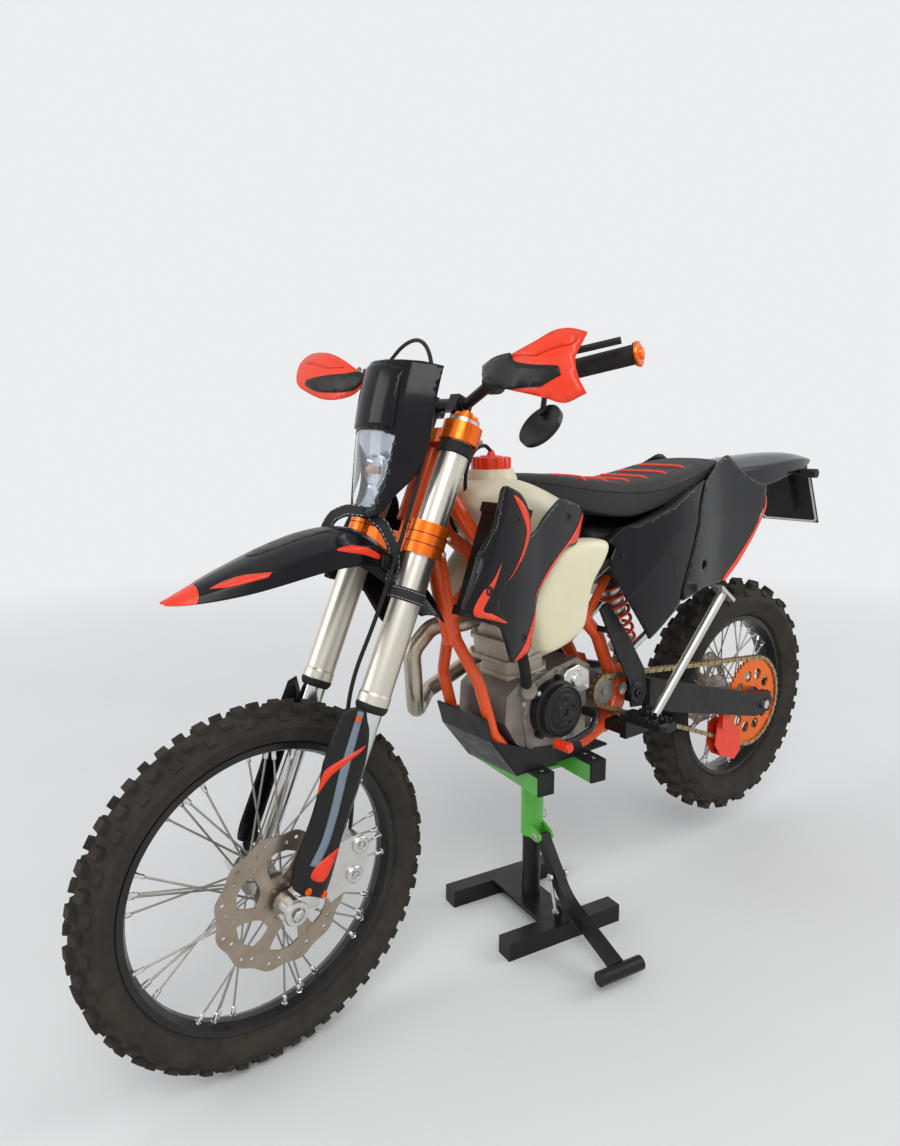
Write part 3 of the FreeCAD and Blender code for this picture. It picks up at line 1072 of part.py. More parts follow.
# Lift stand, drawn about its mast.
top_z = S["skid_low"] - S["stand_gap"]
bar_mid = top_z - S["pad_thick"] - S["stand_bar"] / 2
bars = [box("StandBar", (S["stand_bar"], S["bar_long"], S["stand_bar"]), (s * S["bar_pitch"] / 2, 0, bar_mid))
        for s in (-1, 1)]
bar_low = bar_mid - S["stand_bar"] / 2
tie = box("StandTie", (S["bar_pitch"], 60, 8), (0, 0, bar_low - 4))
upper = cylinder("UpperMast", S["mast_outer"], bar_low - 8 - 210, 0, 0, 210)
upper_bore = cylinder("UpperMastBore", S["mast_inner"] + 0.2, bar_low - 8 - 210, 0, 0, 200)
lever_top = (44, 222)
sleeve_ears = [cut("SleeveEarBored", place(plate("SleeveEar", "YZ_Plane", [
    (14, 246), (34, 240), (56, 232, -12), (58, 214), (44, 208), (14, 212)], 6), k * 17.5, 0, 0),
    cylinder("SleeveEarBore", 5.3, 60, -30, lever_top[0], lever_top[1], (1, 0, 0))) for k in (-1, 1)]
upper_tube = cut("UpperMastTube", fuse("UpperMastSolid", [upper] + sleeve_ears), upper_bore)
node("stand_top", fuse("StandTop", [upper_tube, tie] + bars), "lift")
pads = [box("StandPad", (S["stand_bar"], S["bar_long"] + 12, S["pad_thick"]),
            (s * S["bar_pitch"] / 2, 0, top_z - S["pad_thick"] / 2)) for s in (-1, 1)]
end_caps = [box("StandEndCap", (S["stand_bar"], 6, S["stand_bar"]),
                (s * S["bar_pitch"] / 2, e * (S["bar_long"] / 2 + 3), bar_mid))
            for s in (-1, 1) for e in (-1, 1)]
node("stand_pads", fuse("StandPads", pads + end_caps), "lift")
feet = [box("StandFootBar", (S["foot_long"], S["foot_square"], S["foot_square"]),
            (0, s * S["foot_pitch"] / 2, S["foot_square"] / 2)) for s in (-1, 1)]
deck = box("StandDeck", (90, S["foot_pitch"], 6), (0, 0, S["foot_square"] - 3))
cross_bar = box("StandCross", (43, S["foot_pitch"], 30), (0, 0, 22))
mast = cylinder("LowerMast", S["mast_inner"], 330 - 37, 0, 0, 37)
link_low, link_high = (130, 74), (106, 146.6)
link_block = cut("LinkBlockBored", box("LinkBlock", (28, 28, 46), (0, link_low[0], 63)),
                 cylinder("LinkBlockBore", 5.3, 60, -30, link_low[0], link_low[1], (1, 0, 0)))
node("stand_base", fuse("StandBase", feet + [deck, cross_bar, mast, link_block]), "lift")
lever_bar = plate("LiftLever", "YZ_Plane", [
    (54, 230.3), (128, 140.3, 116), (180.2, 104.3), (326.2, 54.3), (317.8, 29.7), (171.8, 79.7, -142),
    (108, 123.7), (34, 213.7)], 26)
pedal = cylinder("LiftPedal", 16, 116, -58, 332, 37, (1, 0, 0))
lever_bolts = [cylinder("LeverBolt", 5, 52, -26, y, z, (1, 0, 0)) for y, z in (lever_top, link_high, link_low)]
link_rods = [rod("LiftLink", 3.5, (k * 21, *link_low), (k * 21, *link_high)) for k in (-1, 1)]
link_eyes = [cylinder("LinkEye", 8.5, 6, k * 21 - 3, y, z, (1, 0, 0))
             for k in (-1, 1) for y, z in (link_low, link_high)]
node("stand_lever", fuse("StandLever", [lever_bar, pedal] + lever_bolts + link_rods + link_eyes), "lift")


doc.recompute()
bad = []
for item in doc.Objects:
    if "Invalid" in item.State or "Error" in item.State:
        bad.append(item.Name)
for name, item in NODES.items():
    if item.Shape.isNull() or not item.Shape.isValid():
        bad.append(name)
if bad:
    raise SystemExit("failed: " + ", ".join(bad))
os.makedirs("parts", exist_ok=True)
for name, item in NODES.items():
    item.Shape.exportStep("parts/%s.step" % name)
    print("%-18s solids %3d volume %10.0f" % (name, len(item.Shape.Solids), item.Shape.Volume))
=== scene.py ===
# Enduro motorcycle on its lift stand: looks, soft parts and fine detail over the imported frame.
# Metres, in the frame of the CAD model: X forward, Y to the rider's left, Z up.
import math
import bpy
import bmesh
from mathutils import Matrix, Vector
from mathutils.bvhtree import BVHTree
from mathutils.geometry import delaunay_2d_cdt


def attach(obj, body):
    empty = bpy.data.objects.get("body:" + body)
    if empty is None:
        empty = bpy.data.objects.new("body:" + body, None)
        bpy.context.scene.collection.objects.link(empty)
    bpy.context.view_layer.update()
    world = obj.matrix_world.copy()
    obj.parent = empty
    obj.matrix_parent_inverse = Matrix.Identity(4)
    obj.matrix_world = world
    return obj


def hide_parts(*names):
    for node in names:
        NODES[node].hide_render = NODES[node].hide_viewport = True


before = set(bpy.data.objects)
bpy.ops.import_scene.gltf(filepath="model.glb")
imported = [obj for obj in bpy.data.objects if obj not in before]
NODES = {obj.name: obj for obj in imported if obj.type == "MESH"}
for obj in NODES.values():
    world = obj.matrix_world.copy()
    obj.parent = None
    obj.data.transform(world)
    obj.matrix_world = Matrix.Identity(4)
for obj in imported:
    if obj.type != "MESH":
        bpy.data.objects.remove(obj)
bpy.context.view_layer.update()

# Places of the CAD model, in millimetres.
MIDDLE_X = 743.5
WHEELBASE = 1480.0
RAKE = math.radians(23.2)
STEER_X, STEER_Z = 1430.367, 328.727
FRONT_AXLE = (WHEELBASE, 350.0)
REAR_AXLE = (0.0, 420.0)
STAND_X, STAND_Y, STAND_YAW = 757.0, -30.0, math.radians(8.8)


def at(x, y, z):
    """A point of the motorcycle: x from the rear axle, z from the ground."""
    return Vector(((x - MIDDLE_X) / 1000, y / 1000, z / 1000))


def fork(x, y, z):
    """A point in the fork's frame: z up the steering axis, x ahead of it."""
    return at(STEER_X + x * math.cos(RAKE) - z * math.sin(RAKE), y,
              STEER_Z + x * math.sin(RAKE) + z * math.cos(RAKE))


def lift(x, y, z):
    """A point of the lift stand, from the foot of its mast."""
    return at(STAND_X + x * math.cos(STAND_YAW) + y * math.sin(STAND_YAW),
              STAND_Y + y * math.cos(STAND_YAW) - x * math.sin(STAND_YAW), z)


def aim_camera():
    """A camera at the photograph's viewing angle."""
    data = bpy.data.cameras.new("View")
    data.sensor_fit = "HORIZONTAL"
    data.sensor_width = 36
    data.lens = 32.906
    data.clip_start, data.clip_end = 0.05, 200
    camera = bpy.data.objects.new("View", data)
    bpy.context.collection.objects.link(camera)
    right = Vector((-0.7827, 0.6224, -0.0013))
    up = Vector((-0.1054, -0.1304, 0.9858))
    ahead = Vector((-0.6134, -0.7718, -0.1677))
    turn = Matrix((right, up, -ahead)).transposed().to_4x4()
    camera.matrix_world = Matrix.Translation((1.3465, 1.325, 1.178)) @ turn
    bpy.context.scene.camera = camera


aim_camera()


# Materials, all procedural, in the object's own metres.
def node_tree(name):
    """An empty material with a shader on its output."""
    mat = bpy.data.materials.new(name)
    mat.use_nodes = True
    nodes = mat.node_tree.nodes
    nodes.clear()
    out = nodes.new("ShaderNodeOutputMaterial")
    shader = nodes.new("ShaderNodeBsdfPrincipled")
    mat.node_tree.links.new(shader.outputs[0], out.inputs[0])
    return mat, nodes, mat.node_tree.links, shader


def noise(nodes, links, coords, scale, detail=4, rough=0.55):
    """The value of a noise pattern."""
    item = nodes.new("ShaderNodeTexNoise")
    item.inputs["Scale"].default_value = scale
    item.inputs["Detail"].default_value = detail
    item.inputs["Roughness"].default_value = rough
    links.new(coords, item.inputs["Vector"])
    return item.outputs["Fac"]


def ramp(nodes, links, value, low, high, low_out=0.0, high_out=1.0):
    """A value between low and high, spread between two others."""
    item = nodes.new("ShaderNodeMapRange")
    for i, number in enumerate((low, high, low_out, high_out), 1):
        item.inputs[i].default_value = number
    links.new(value, item.inputs[0])
    return item.outputs[0]


def blend_colour(nodes, links, share, first, second):
    """A mix of two colours, each a socket or a fixed colour."""
    item = nodes.new("ShaderNodeMix")
    item.data_type = "RGBA"
    links.new(share, item.inputs[0])
    for socket, value in ((item.inputs[6], first), (item.inputs[7], second)):
        if isinstance(value, (tuple, list)):
            socket.default_value = (*value, 1)
        else:
            links.new(value, socket)
    return item.outputs[2]


def finish(name, colour, rough=0.45, metal=0.0, other=None, mottle=(30, 0.5), dust=0.0,
           dust_colour=(0.32, 0.26, 0.19), grain=(900, 0.15), stretch=(1, 1, 1), coat=0.0, sub=0.0,
           spread=0.12, spec=0.5):
    """A material with colour variation, dust, roughness variation and a fine relief.

    mottle is the scale and the share of the other colour, grain the scale and strength of the relief.
    """
    mat, nodes, links, shader = node_tree(name)
    place = nodes.new("ShaderNodeTexCoord")
    mapping = nodes.new("ShaderNodeMapping")
    mapping.inputs["Scale"].default_value = stretch
    links.new(place.outputs["Object"], mapping.inputs[0])
    coords = mapping.outputs[0]
    broad = noise(nodes, links, coords, mottle[0])
    fine = noise(nodes, links, coords, grain[0], 3)
    if other is None:
        other = tuple(c * 0.72 for c in colour)
    tone = blend_colour(nodes, links, ramp(nodes, links, broad, 0.35, 0.68, 0, mottle[1]), colour, other)
    if dust:
        specks = noise(nodes, links, place.outputs["Object"], 14, 8, 0.7)
        share = ramp(nodes, links, specks, 0.42, 0.72, dust * 0.25, dust)
        tone = blend_colour(nodes, links, share, tone, dust_colour)
    links.new(tone, shader.inputs["Base Color"])
    links.new(ramp(nodes, links, broad, 0.3, 0.7, max(rough - spread, 0.02), min(rough + spread, 1)),
              shader.inputs["Roughness"])
    shader.inputs["Metallic"].default_value = metal
    shader.inputs["Specular IOR Level"].default_value = spec
    if coat:
        shader.inputs["Coat Weight"].default_value = coat
        shader.inputs["Coat Roughness"].default_value = 0.06
    if sub:
        shader.inputs["Subsurface Weight"].default_value = sub
        shader.inputs["Subsurface Radius"].default_value = (0.02, 0.014, 0.008)
    bump = nodes.new("ShaderNodeBump")
    bump.inputs["Strength"].default_value = grain[1]
    bump.inputs["Distance"].default_value = 0.0006
    links.new(fine, bump.inputs["Height"])
    links.new(bump.outputs[0], shader.inputs["Normal"])
    return mat


ORANGE = (0.80, 0.078, 0.005)
RED_ORANGE = (0.76, 0.036, 0.007)
M = {
    "tyre": finish(
        "Tyre", (0.018, 0.017, 0.016), 0.85, mottle=(25, 0.6), other=(0.05, 0.043, 0.036), dust=0.4,
        grain=(500, 0.5), dust_colour=(0.085, 0.068, 0.05), spec=0.15),
    "rim": finish(
        "RimBlack", (0.008, 0.008, 0.009), 0.32, coat=0.1, dust=0.12, spec=0.3,
        dust_colour=(0.1, 0.08, 0.06)),
    "hub": finish("HubAlloy", (0.42, 0.41, 0.39), 0.42, 0.9, dust=0.5, grain=(350, 0.3)),
    "steel": finish("Steel", (0.62, 0.61, 0.6), 0.28, 1.0, mottle=(60, 0.35), grain=(700, 0.1)),
    "disc": finish(
        "DiscSteel", (0.38, 0.33, 0.27), 0.35, 0.85, other=(0.24, 0.18, 0.13), dust=0.5, grain=(600, 0.2),
        dust_colour=(0.3, 0.225, 0.15)),
    "alloy": finish(
        "Alloy", (0.66, 0.65, 0.63), 0.34, 0.95, mottle=(40, 0.3), dust=0.12, grain=(900, 0.12)),
    "fork": finish(
        "ForkAlloy", (0.70, 0.67, 0.60), 0.3, 0.95, other=(0.6, 0.55, 0.45), mottle=(6, 0.5),
        grain=(500, 0.12), stretch=(1, 1, 0.08), dust=0.08),
    "slider": finish(
        "SliderChrome", (0.7, 0.7, 0.7), 0.12, 1.0, mottle=(20, 0.2), grain=(500, 0.05), dust=0.1),
    "case": finish(
        "CaseAlloy", (0.27, 0.255, 0.235), 0.5, 0.7, other=(0.13, 0.115, 0.1), mottle=(16, 0.7), dust=0.35,
        grain=(400, 0.5)),
    "barrel": finish(
        "BarrelAlloy", (0.52, 0.48, 0.40), 0.55, 0.45, other=(0.36, 0.32, 0.25), mottle=(20, 0.6), dust=0.3,
        grain=(420, 0.6)),
    "orange_paint": finish(
        "OrangePaint", ORANGE, 0.3, coat=0.2, spec=0.35, mottle=(18, 0.25), grain=(700, 0.08), dust=0.1),
    "orange_metal": finish(
        "OrangeAnodised", (0.9, 0.16, 0.012), 0.28, 0.75, mottle=(30, 0.25), grain=(900, 0.08)),
    "orange_plastic": finish(
        "OrangePlastic", RED_ORANGE, 0.34, coat=0.1, spec=0.35, mottle=(25, 0.2), grain=(1200, 0.12),
        other=(0.82, 0.07, 0.012)),
    "gloss_black": finish(
        "GlossBlack", (0.004, 0.0042, 0.0055), 0.13, coat=0.08, spread=0.05, mottle=(12, 0.4), dust=0.006,
        grain=(500, 0.06), other=(0.008, 0.0085, 0.01), spec=0.16),
    "matt_black": finish(
        "MattBlack", (0.010, 0.010, 0.011), 0.5, spec=0.25, mottle=(40, 0.5), other=(0.02, 0.02, 0.021),
        grain=(1400, 0.4), dust=0.02),
    "satin_black": finish(
        "SatinBlack", (0.009, 0.009, 0.010), 0.34, spec=0.24, mottle=(35, 0.4), grain=(900, 0.2),
        dust=0.015),
    "rubber": finish(
        "Rubber", (0.012, 0.012, 0.012), 0.72, spec=0.25, mottle=(50, 0.4), grain=(700, 0.5), dust=0.03),
    "cream": finish(
        "TankCream", (0.74, 0.69, 0.50), 0.4, sub=0.35, mottle=(9, 0.5), other=(0.66, 0.60, 0.40),
        grain=(900, 0.1)),
    "seat": finish(
        "SeatCover", (0.014, 0.014, 0.016), 0.6, mottle=(20, 0.5), spec=0.3, other=(0.028, 0.028, 0.031),
        grain=(1600, 0.7), dust=0.02),
    "green": finish(
        "GreenPaint", (0.08, 0.44, 0.04), 0.34, coat=0.4, mottle=(14, 0.25), grain=(500, 0.1), dust=0.06),
    "chain": finish(
        "ChainGold", (0.46, 0.37, 0.2), 0.38, 0.95, mottle=(90, 0.6), other=(0.25, 0.2, 0.13), dust=0.2),
    "exhaust": finish(
        "HeaderSteel", (0.42, 0.39, 0.34), 0.34, 1.0, other=(0.5, 0.4, 0.27), mottle=(9, 0.6),
        grain=(500, 0.1)),
    "spring": finish(
        "SpringOrange", (0.88, 0.09, 0.01), 0.3, coat=0.4, mottle=(30, 0.25), grain=(800, 0.1)),
    "mirror": finish("LampMirror", (0.55, 0.58, 0.62), 0.16, 1.0, mottle=(30, 0.3), grain=(300, 0.1)),
    "slate": finish("SlateTrim", (0.16, 0.2, 0.25), 0.4, mottle=(30, 0.3), grain=(900, 0.1)),
    "pale": finish("PaleTrim", (0.62, 0.62, 0.6), 0.5, mottle=(30, 0.3), grain=(900, 0.1)),
    "webbing": finish(
        "Webbing", (0.016, 0.016, 0.017), 0.85, mottle=(400, 0.6), other=(0.04, 0.04, 0.042),
        grain=(2600, 0.9)),
    "thread": finish("Thread", (0.6, 0.6, 0.58), 0.8, mottle=(300, 0.3), grain=(2500, 0.6)),
    "amber": finish("AmberLens", (0.55, 0.2, 0.03), 0.15, coat=0.4, mottle=(60, 0.2)),
}


def glass():
    """Clear plastic with a faint unevenness."""
    mat, nodes, links, shader = node_tree("LampGlass")
    place = nodes.new("ShaderNodeTexCoord")
    waves = noise(nodes, links, place.outputs["Object"], 40, 2)
    links.new(ramp(nodes, links, waves, 0.3, 0.7, 0.0, 0.05), shader.inputs["Roughness"])
    shader.inputs["Base Color"].default_value = (0.95, 0.97, 1, 1)
    shader.inputs["Transmission Weight"].default_value = 0.95
    shader.inputs["IOR"].default_value = 1.3
    return mat


M["glass"] = glass()


# Which material each CAD node shows.
WEAR = {
    "tyre": ("front_tyre", "rear_tyre"),
    "rim": ("front_rim", "rear_rim"),
    "hub": ("front_hub", "rear_hub"),
    "disc": ("front_brake_disc", "rear_brake_disc"),
    "orange_metal": ("rear_sprocket", "lower_clamp", "upper_clamp"),
    "fork": ("fork_tubes",),
    "slider": ("fork_sliders",),
    "steel": ("front_axle", "rear_axles"),
    "orange_plastic": ("handguards", "chain_guide", "fork_guards", "fuel_cap"),
    "gloss_black": ("front_fender", "headlight_mask", "radiator_shrouds", "side_panels", "rear_fender"),
    "glass": ("headlight",),
    "satin_black": ("frame_guards", "skid_plate", "stand_base", "stand_lever", "handlebar", "hand_controls",
                    "foot_controls", "radiators", "engine_covers"),
    "rubber": ("grips", "brake_hose", "stand_pads"),
    "alloy": ("front_caliper", "rear_caliper", "subframe", "side_stand", "shock_body"),
    "orange_paint": ("frame",),
    "matt_black": ("plate_holder", "swingarm"),
    "case": ("engine_case", "cylinder"),
    "spring": ("shock_spring",),
    "exhaust": ("exhaust",),
    "cream": ("fuel_tank",),
    "seat": ("seat",),
    "green": ("stand_top",),
    "chain": ("chain",),
}
for key, names in WEAR.items():
    for each in names:
        slots = NODES[each].data.materials
        slots.clear()
        slots.append(M[key])


# Shape tools. CRISP is the crease of a sharp edge; the fill of a sheet is staggered rows of points.
CRISP = 0.8
ROW_SHARE, EDGE_SHARE = 0.87, 0.45


def blend(p, q, m0, m1, t):
    """The place at share t of a cubic from p to q, which leaves along m0 and arrives along m1."""
    return (p * (2 * t ** 3 - 3 * t * t + 1) + m0 * (t ** 3 - 2 * t * t + t)
            + q * (3 * t * t - 2 * t ** 3) + m1 * (t ** 3 - t * t))


def hermite(points, steps, closed=True):
    """A smooth line through points; a point given as (u, v, 0) keeps its corner."""
    count = len(points)
    line = []
    for i in range(count if closed else count - 1):
        p, q = points[i], points[(i + 1) % count]
        a, b = Vector(p[:2]), Vector(q[:2])
        before = Vector(points[i - 1][:2]) if closed or i else a
        after = Vector(points[(i + 2) % count][:2]) if closed or i + 2 < count else b
        m0 = (b - a) if len(p) == 3 else (b - before) / 2
        m1 = (b - a) if len(q) == 3 else (after - a) / 2
        limit = (b - a).length
        m0, m1 = (m * min(1, limit / max(m.length, 1e-6)) for m in (m0, m1))
        parts = 1 if len(p) == 3 and len(q) == 3 else steps
        line.extend(blend(a, b, m0, m1, k / parts) for k in range(parts))
    if not closed:
        line.append(Vector(points[-1][:2]))
    return line


def inside(point, outline):
    """Whether a point lies within a closed outline."""
    hit = False
    for a, b in zip(outline, outline[1:] + outline[:1]):
        if (a.y > point.y) != (b.y > point.y):
            if point.x < a.x + (point.y - a.y) * (b.x - a.x) / (b.y - a.y):
                hit = not hit
    return hit


def triangles(outline, holes=(), step=10.0):
    """Points and triangles that fill an outline, apart from its holes."""
    loops = [outline] + list(holes)
    points, edges = [], []
    for loop in loops:
        base = len(points)
        points.extend(loop)
        edges.extend((base + i, base + (i + 1) % len(loop)) for i in range(len(loop)))
    low = Vector((min(p.x for p in outline), min(p.y for p in outline)))
    high = Vector((max(p.x for p in outline), max(p.y for p in outline)))
    # Rows of points between the outlines, none close to them.
    row = 0
    v = low.y + step / 2
    while v < high.y:
        u = low.x + step * (0.25 if row % 2 else 0.75)
        while u < high.x:
            point = Vector((u, v))
            clear = min((point - p).length for p in points[:len(edges)]) > step * EDGE_SHARE
            if clear and inside(point, outline) and not any(inside(point, h) for h in holes):
                points.append(point)
            u += step
        v += step * ROW_SHARE
        row += 1
    found = delaunay_2d_cdt(points, edges, [], 0, 1e-5)
    kept = []
    for face in found[2]:
        middle = sum((found[0][i] for i in face), Vector((0, 0))) / 3
        if inside(middle, outline) and not any(inside(middle, h) for h in holes):
            kept.append(face)
    return found[0], kept


def link(name, mesh, mat, body, replaces=()):
    """Put a mesh on its body, in place of the CAD nodes that it replaces."""
    item = bpy.data.objects.new(name, mesh)
    bpy.context.collection.objects.link(item)
    for each in mat if isinstance(mat, list) else [mat]:
        mesh.materials.append(each)
    mesh.shade_smooth()
    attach(item, body)
    if replaces:
        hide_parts(*replaces)
    return item


def shape(name, points, faces, mat, body, thick=0, rise=0, toward=None, solid=False, crisp=(), **more):
    """A mesh piece, smoothed rise times, with its faces toward a side or out of a solid.

    thick is the depth of a sheet behind its face; crisp lists edges, as pairs of points, that stay sharp.
    """
    mesh = bpy.data.meshes.new(name)
    mesh.from_pydata([tuple(p) for p in points], [], [tuple(f) for f in faces])
    if solid:
        bm = bmesh.new()
        bm.from_mesh(mesh)
        bmesh.ops.recalc_face_normals(bm, faces=bm.faces)
        bm.to_mesh(mesh)
        bm.free()
    if toward is not None:
        mesh.update()
        if sum((f.normal * f.area for f in mesh.polygons), Vector()).dot(Vector(toward)) < 0:
            mesh.flip_normals()
    if crisp:
        layer = mesh.attributes.new("crease_edge", "FLOAT", "EDGE")
        for edge in mesh.edges:
            if tuple(sorted(edge.vertices)) in crisp:
                layer.data[edge.index].value = CRISP
    item = link(name, mesh, mat, body, **more)
    if rise:
        level = item.modifiers.new("Smooth", "SUBSURF")
        level.levels = level.render_levels = rise
    if thick:
        wall = item.modifiers.new("Wall", "SOLIDIFY")
        wall.thickness = thick / 1000
        wall.offset = -1
    return item


def sheet(name, outline, surface, mat, body, toward, thick=3, holes=(), step=10, steps=5, **more):
    """A curved sheet: an outline in two coordinates, laid on a surface."""
    line = hermite(outline, steps)
    cuts = [hermite(h, steps) for h in holes]
    points, faces = triangles(line, cuts, step)
    return shape(name, [surface(p.x, p.y) for p in points], faces, mat, body, thick, toward=toward, **more)


def cage(name, rings, mat, body, rise=2, closed=True, crease=(), **more):
    """Rings of points joined by quads. crease names the columns whose lengthwise edges stay crisp."""
    wide = len(rings[0])
    points = [p for ring in rings for p in ring]
    faces = []
    for i in range(len(rings) - 1):
        for j in range(wide if closed else wide - 1):
            a, b = i * wide + j, i * wide + (j + 1) % wide
            faces.append((a, b, b + wide, a + wide))
    if closed:
        faces.append(tuple(range(wide - 1, -1, -1)))
        faces.append(tuple(range(len(points) - wide, len(points))))
    crisp = {(i * wide + j, i * wide + j + wide) for i in range(len(rings) - 1) for j in crease}
    return shape(name, points, faces, mat, body, rise=rise, solid=closed, crisp=crisp, **more)


def frame_of(way):
    """The direction way, and two more that are square to it."""
    way = way.normalized()
    side = way.cross(Vector((0, 0, 1)) if abs(way.z) < 0.9 else Vector((1, 0, 0))).normalized()
    return way, side, way.cross(side)


def circle(middle, side, other, radius, steps):
    """Points round a middle, in the plane of two directions."""
    return [middle + (side * math.cos(a) + other * math.sin(a)) * radius
            for a in (2 * math.pi * k / steps for k in range(steps))]


def round_off(part, edges, bevel, segments):
    """Round the edges of a part by bevel mm."""
    bmesh.ops.bevel(part, geom=edges, offset=bevel / 1000, segments=segments, affect="EDGES", profile=0.5,
                    clamp_overlap=True)


class Kit:
    """Collects turned, bent and flat parts of one material into one piece."""

    def __init__(self):
        self.bm = bmesh.new()

    def rings(self, rows, closed=False):
        """Rings of points joined by quads, with a lid at each end unless the last meets the first."""
        verts = [[self.bm.verts.new(p) for p in row] for row in rows]
        pairs = list(zip(verts, verts[1:])) + ([(verts[-1], verts[0])] if closed else [])
        for first, second in pairs:
            count = len(first)
            for j in range(count):
                self.bm.faces.new((first[j], first[(j + 1) % count], second[(j + 1) % count], second[j]))
        if not closed:
            self.bm.faces.new(verts[0][::-1])
            self.bm.faces.new(verts[-1])

    def turned(self, centre, way, profile, steps=24):
        """A round part: (radius, along) in mm, from centre along way."""
        way, side, other = frame_of(Vector(way))
        self.rings([circle(centre + way * (high / 1000), side, other, radius / 1000, steps)
                    for radius, high in profile])

    def bolt(self, centre, way, radius, high, flange=1.35):
        """A hexagon head on a round flange, with a recess."""
        self.turned(centre, way, [
            (radius * flange, 0), (radius * flange, high * 0.25), (radius * 1.02, high * 0.35)], 18)
        self.turned(centre, way, [
            (radius, high * 0.3), (radius, high * 0.86), (radius * 0.86, high), (radius * 0.5, high),
            (radius * 0.45, high * 0.6)], 6)

    def tube(self, points, radius, steps=12, smooth=6, closed=False):
        """A round bar along a smooth line. radius may be a function of the share of the way."""
        line = []
        count = len(points)
        for i in range(count if closed else count - 1):
            p, q = points[i], points[(i + 1) % count]
            m0 = (q - points[i - 1]) / 2 if i or closed else q - p
            m1 = (points[(i + 2) % count] - p) / 2 if closed or i + 2 < count else q - p
            line.extend(blend(p, q, m0, m1, k / smooth) for k in range(smooth))
        if not closed:
            line.append(points[-1])
        rows = []
        total = len(line)
        side = None
        for i, p in enumerate(line):
            before = line[i - 1] if i or closed else p
            after = line[(i + 1) % total] if closed or i + 1 < total else p
            way = (after - before).normalized()
            side = frame_of(way)[1] if side is None else (side - way * side.dot(way)).normalized()
            other = way.cross(side)
            size = radius(i / max(total - 1, 1)) if callable(radius) else radius
            rows.append(circle(p, side, other, size / 1000, steps))
        self.rings(rows, closed)

    def plate(self, outline, low, high, put, bevel=1.0, holes=(), segments=2):
        """A flat part: an outline in two coordinates, from low to high in the third."""
        points, faces = triangles([Vector(p[:2]) for p in outline],
                                  [[Vector(q[:2]) for q in h] for h in holes], 1e6)
        part = bmesh.new()
        base = [part.verts.new(put(p.x, p.y, low)) for p in points]
        flat = [part.faces.new([base[i] for i in f]) for f in faces]
        moved = bmesh.ops.extrude_face_region(part, geom=flat)
        shift = Vector(put(0, 0, high)) - Vector(put(0, 0, low))
        for item in moved["geom"]:
            if isinstance(item, bmesh.types.BMVert):
                item.co += shift
        bmesh.ops.dissolve_limit(part, angle_limit=0.01, verts=part.verts, edges=part.edges)
        bmesh.ops.recalc_face_normals(part, faces=part.faces)
        if bevel:
            sharp = [e for e in part.edges if len(e.link_faces) == 2 and e.calc_face_angle(0) > 0.6]
            round_off(part, sharp, bevel, segments)
        self.join(part)

    def block(self, centre, sizes, bevel, segments):
        """A block with rounded edges about its centre."""
        part = bmesh.new()
        bmesh.ops.create_cube(part, size=1)
        for v in part.verts:
            v.co = centre + Vector((v.co.x * sizes[0], v.co.y * sizes[1], v.co.z * sizes[2])) / 1000
        round_off(part, list(part.edges), bevel, segments)
        self.join(part)

    def join(self, part):
        """Take in a finished part."""
        mesh = bpy.data.meshes.new("part")
        part.to_mesh(mesh)
        part.free()
        self.bm.from_mesh(mesh)
        bpy.data.meshes.remove(mesh)

    def make(self, name, mat, body, sharp=35, **more):
        """The piece, with edges over sharp degrees kept crisp."""
        bmesh.ops.recalc_face_normals(self.bm, faces=self.bm.faces)
        mesh = bpy.data.meshes.new(name)
        self.bm.to_mesh(mesh)
        self.bm.free()
        item = link(name, mesh, mat, body, **more)
        mesh.set_sharp_from_angle(angle=math.radians(sharp))
        return item


def turned_piece(name, mat, body, *part):
    """A piece that is one round part."""
    kit = Kit()
    kit.turned(*part)
    kit.make(name, mat, body)


def tube_piece(name, mat, body, *part):
    """A piece that is one bent bar."""
    kit = Kit()
    kit.tube(*part)
    kit.make(name, mat, body)


def both(points):
    """A half outline and its mirror image, as one loop."""
    return points + [(-p[0], *p[1:]) for p in reversed(points)]


# Sides, directions and places that several pieces share.
SIDES = (("Left", 1), ("Right", -1))
AHEAD = (math.cos(RAKE), 0, math.sin(RAKE))
STEER_UP = fork(0, 0, 1) - fork(0, 0, 0)
FORK_X, FORK_SIDE = 22, 102
LEFTWARD = (0, 1, 0)
SKIN = 0.8


def along(rows, x, column=1):
    """A smooth reading of a column between rows that start with x."""
    if x <= rows[0][0]:
        return rows[0][column]
    if x >= rows[-1][0]:
        return rows[-1][column]
    i = max(k for k in range(len(rows) - 1) if rows[k][0] <= x)
    low, high = rows[i], rows[i + 1]
    span = high[0] - low[0]
    rise = high[column] - low[column]
    before = rows[i - 1] if i else low
    after = rows[i + 2] if i + 2 < len(rows) else high
    m0 = span * (high[column] - before[column]) / (high[0] - before[0])
    m1 = span * (after[column] - low[column]) / (after[0] - low[0])
    t = (x - low[0]) / span
    return (low[column] + rise * (3 * t * t - 2 * t ** 3) + m0 * (t ** 3 - 2 * t * t + t)
            + m1 * (t ** 3 - t * t))


def mirror(point, side):
    """A point of the left side on the left (1) or the right (-1)."""
    return Vector((point.x, point.y * side, point.z))


def pair(name, outline, surface, mat, body, thick=4, out=0.0, toward=None, **more):
    """A sheet on the left, and its mirror image on the right."""
    for tag, side in SIDES:
        sheet(name + tag, outline, lambda u, v: mirror(surface(u, v, out), side), mat, body,
              toward or (0, side, 0), thick, **more)


def flash(name, outline, surface, body, out, step=7):
    """A pair of thin orange skins, laid out mm over a surface."""
    pair(name, outline, surface, M["orange_plastic"], body, SKIN, out, step=step)


